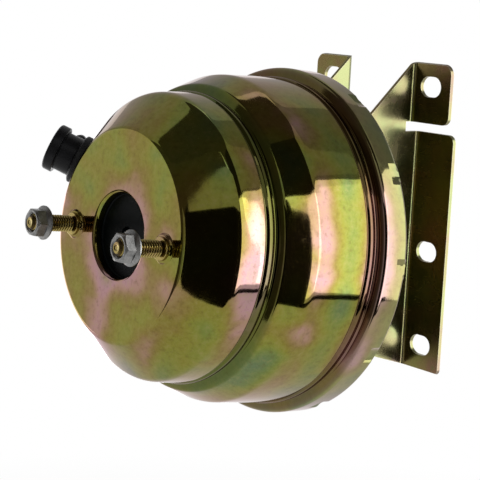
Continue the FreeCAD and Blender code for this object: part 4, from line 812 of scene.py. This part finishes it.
def floor_paper():
    """White paper: as bright as the backdrop far away, with the shadow still on it near the object."""
    t = Tree("floor_paper")
    t.set(Base_Color=(0.93, 0.93, 0.93), Roughness=0.9, Specular_IOR_Level=0.1)
    seen = t.node("ShaderNodeLightPath")
    mirror = t.math("ADD", seen.outputs["Is Glossy Ray"], seen.outputs["Is Transmission Ray"], True)
    seen = t.math("ADD", mirror, seen.outputs["Is Camera Ray"], True)
    place = t.node("ShaderNodeNewGeometry")
    far = t.node("ShaderNodeVectorMath", operation="LENGTH")
    t.link(place.outputs["Position"], far.inputs[0])
    share = t.remap(far.outputs["Value"], 0.8, 1.7, 0.75, 1.0)
    mixer = t.node("ShaderNodeMixShader")
    t.link(t.times(seen, share), mixer.inputs[0])
    t.link(t.bsdf.outputs[0], mixer.inputs[1])
    t.link(glow(t, PLAIN_WHITE, 1.0), mixer.inputs[2])
    t.surface(mixer.outputs[0])
    return t.mat


def direction(azimuth, elevation):
    a, e = math.radians(azimuth), math.radians(elevation)
    return Vector((math.sin(a) * math.cos(e), -math.cos(a) * math.cos(e), math.sin(e)))


def card(name, azimuth, elevation, width, height, distance, colour, strength):
    """Flat studio card that faces the object and shows in its reflections only."""
    out = direction(azimuth, elevation)
    side = out.cross(Vector((0, 0, 1))).normalized()
    up = side.cross(out).normalized()
    c = MIDDLE + out * distance
    w, h = side * width / 2, up * height / 2
    mesh = bpy.data.meshes.new(name)
    mesh.from_pydata([c - w - h, c + w - h, c + w + h, c - w + h], [], [(0, 1, 2, 3)])
    obj = bpy.data.objects.new(name, mesh)
    scene.collection.objects.link(obj)
    t = Tree(name + "_cloth")
    t.surface(glow(t, colour, strength))
    mesh.materials.append(t.mat)
    obj.visible_camera = False
    obj.visible_diffuse = False
    obj.visible_shadow = False


def softbox(name, azimuth, elevation, width, height, distance, radiance):
    """Area light that faces the object."""
    out = direction(azimuth, elevation)
    data = bpy.data.lights.new(name, "AREA")
    data.shape = "RECTANGLE"
    data.size, data.size_y = width, height
    data.energy = radiance * math.pi * width * height
    obj = bpy.data.objects.new(name, data)
    scene.collection.objects.link(obj)
    obj.location = MIDDLE + out * distance
    obj.rotation_mode = "QUATERNION"
    obj.rotation_quaternion = (-out).to_track_quat("-Z", "Y")
    obj.visible_camera = False


def build_floor():
    s, z = FLOOR_HALF, FLOOR_Z
    mesh = bpy.data.meshes.new("floor")
    mesh.from_pydata([(-s, -s, z), (s, -s, z), (s, s, z), (-s, s, z)], [], [(0, 1, 2, 3)])
    floor = bpy.data.objects.new("floor", mesh)
    scene.collection.objects.link(floor)
    mesh.materials.append(floor_paper())


def build_room():
    """Soft light from all round; white where a camera, glossy or transmission ray meets it."""
    world = bpy.data.worlds.new("studio")
    scene.world = world
    world.use_nodes = True
    tree = world.node_tree
    dim = tree.nodes["Background"]
    bright = tree.nodes.new("ShaderNodeBackground")
    for shader, strength in ((dim, ROOM_STRENGTH), (bright, 1.0)):
        shader.inputs["Color"].default_value = (*PLAIN_WHITE, 1)
        shader.inputs["Strength"].default_value = strength
    path = tree.nodes.new("ShaderNodeLightPath")
    seen = path.outputs["Is Camera Ray"]
    for ray in ("Is Glossy Ray", "Is Transmission Ray"):
        either = tree.nodes.new("ShaderNodeMath")
        either.operation = "ADD"
        either.use_clamp = True
        tree.links.new(seen, either.inputs[0])
        tree.links.new(path.outputs[ray], either.inputs[1])
        seen = either.outputs[0]
    mixer = tree.nodes.new("ShaderNodeMixShader")
    tree.links.new(seen, mixer.inputs[0])
    tree.links.new(dim.outputs[0], mixer.inputs[1])
    tree.links.new(bright.outputs[0], mixer.inputs[2])
    tree.links.new(mixer.outputs[0], tree.nodes["World Output"].inputs["Surface"])


def build_camera():
    """The camera that was fitted to the photo: its axes and place in the booster frame."""
    right, down, ahead = np.array(CAMERA_AXES)
    data = bpy.data.cameras.new("camera")
    data.sensor_width = SENSOR
    data.lens = FOCAL_PX / PHOTO_PX * SENSOR
    data.clip_start, data.clip_end = 0.01, 50.0
    obj = bpy.data.objects.new("camera", data)
    scene.collection.objects.link(obj)
    turn = np.array(PLACE)[:3, :3] * 1000.0
    pose = Matrix((turn @ np.array([right, -down, -ahead]).T).tolist()).to_4x4()
    pose.translation = Vector(to_row([CAMERA_PLACE])[0])
    obj.matrix_world = pose
    scene.camera = obj


CAMERA_AXES = [[0.61754, 0.77792, 0.11616], [0.16011, 0.02026, -0.98689], [-0.77007, 0.62804, -0.11204]]
CAMERA_PLACE = (664.083, -456.664, 96.017)
FOCAL_PX, PHOTO_PX = 1500.0, 480.0
SENSOR = 36.0

build_floor()
build_room()
# name, azimuth, elevation, width, height, distance, radiance
softbox("key_box", 91, 5, 1.2, 1.2, 1.0, 2.15)
softbox("side_box", 135, 6, 0.72, 1.2, 1.06, 2.0)
softbox("left_box", -98, -13, 1.5, 0.42, 1.0, 1.5)
card("flag_camera_side", 46, 2, 0.46, 1.24, 0.96, DARK_CLOTH, 0.012)
card("flag_key_near", 72, 2, 0.50, 1.24, 0.955, DARK_CLOTH, 0.012)
card("card_over_camera", 57, 41, 0.72, 0.42, 0.97, PLAIN_WHITE, 0.55)
card("flag_over_key", 97, 54, 0.75, 0.60, 0.97, DARK_CLOTH, 0.03)
card("card_over_side", 132, 53, 0.55, 0.56, 0.98, PLAIN_WHITE, 0.42)
card("strip_under_key", 92, -30, 1.5, 0.05, 0.95, DARK_CLOTH, 0.012)
card("flag_front", -6, 21, 1.45, 1.6, 1.0, DARK_CLOTH, 0.10)
card("card_front", 17, 1, 0.40, 0.72, 0.93, PLAIN_WHITE, 0.38)
card("card_left_high", -62, 40, 0.7, 0.8, 1.05, PLAIN_WHITE, 0.50)
card("card_rear_high", -125, 38, 1.9, 0.9, 1.1, PLAIN_WHITE, 0.50)
card("card_rear_right", 160, 54, 1.4, 0.8, 1.1, PLAIN_WHITE, 0.28)
card("strip_left", -88, 4, 1.0, 0.10, 0.97, DARK_CLOTH, 0.05)
card("flag_ceiling", 20, 84, 2.6, 1.0, 1.0, DARK_CLOTH, 0.08)
build_camera()

scene.view_settings.view_transform = "Standard"
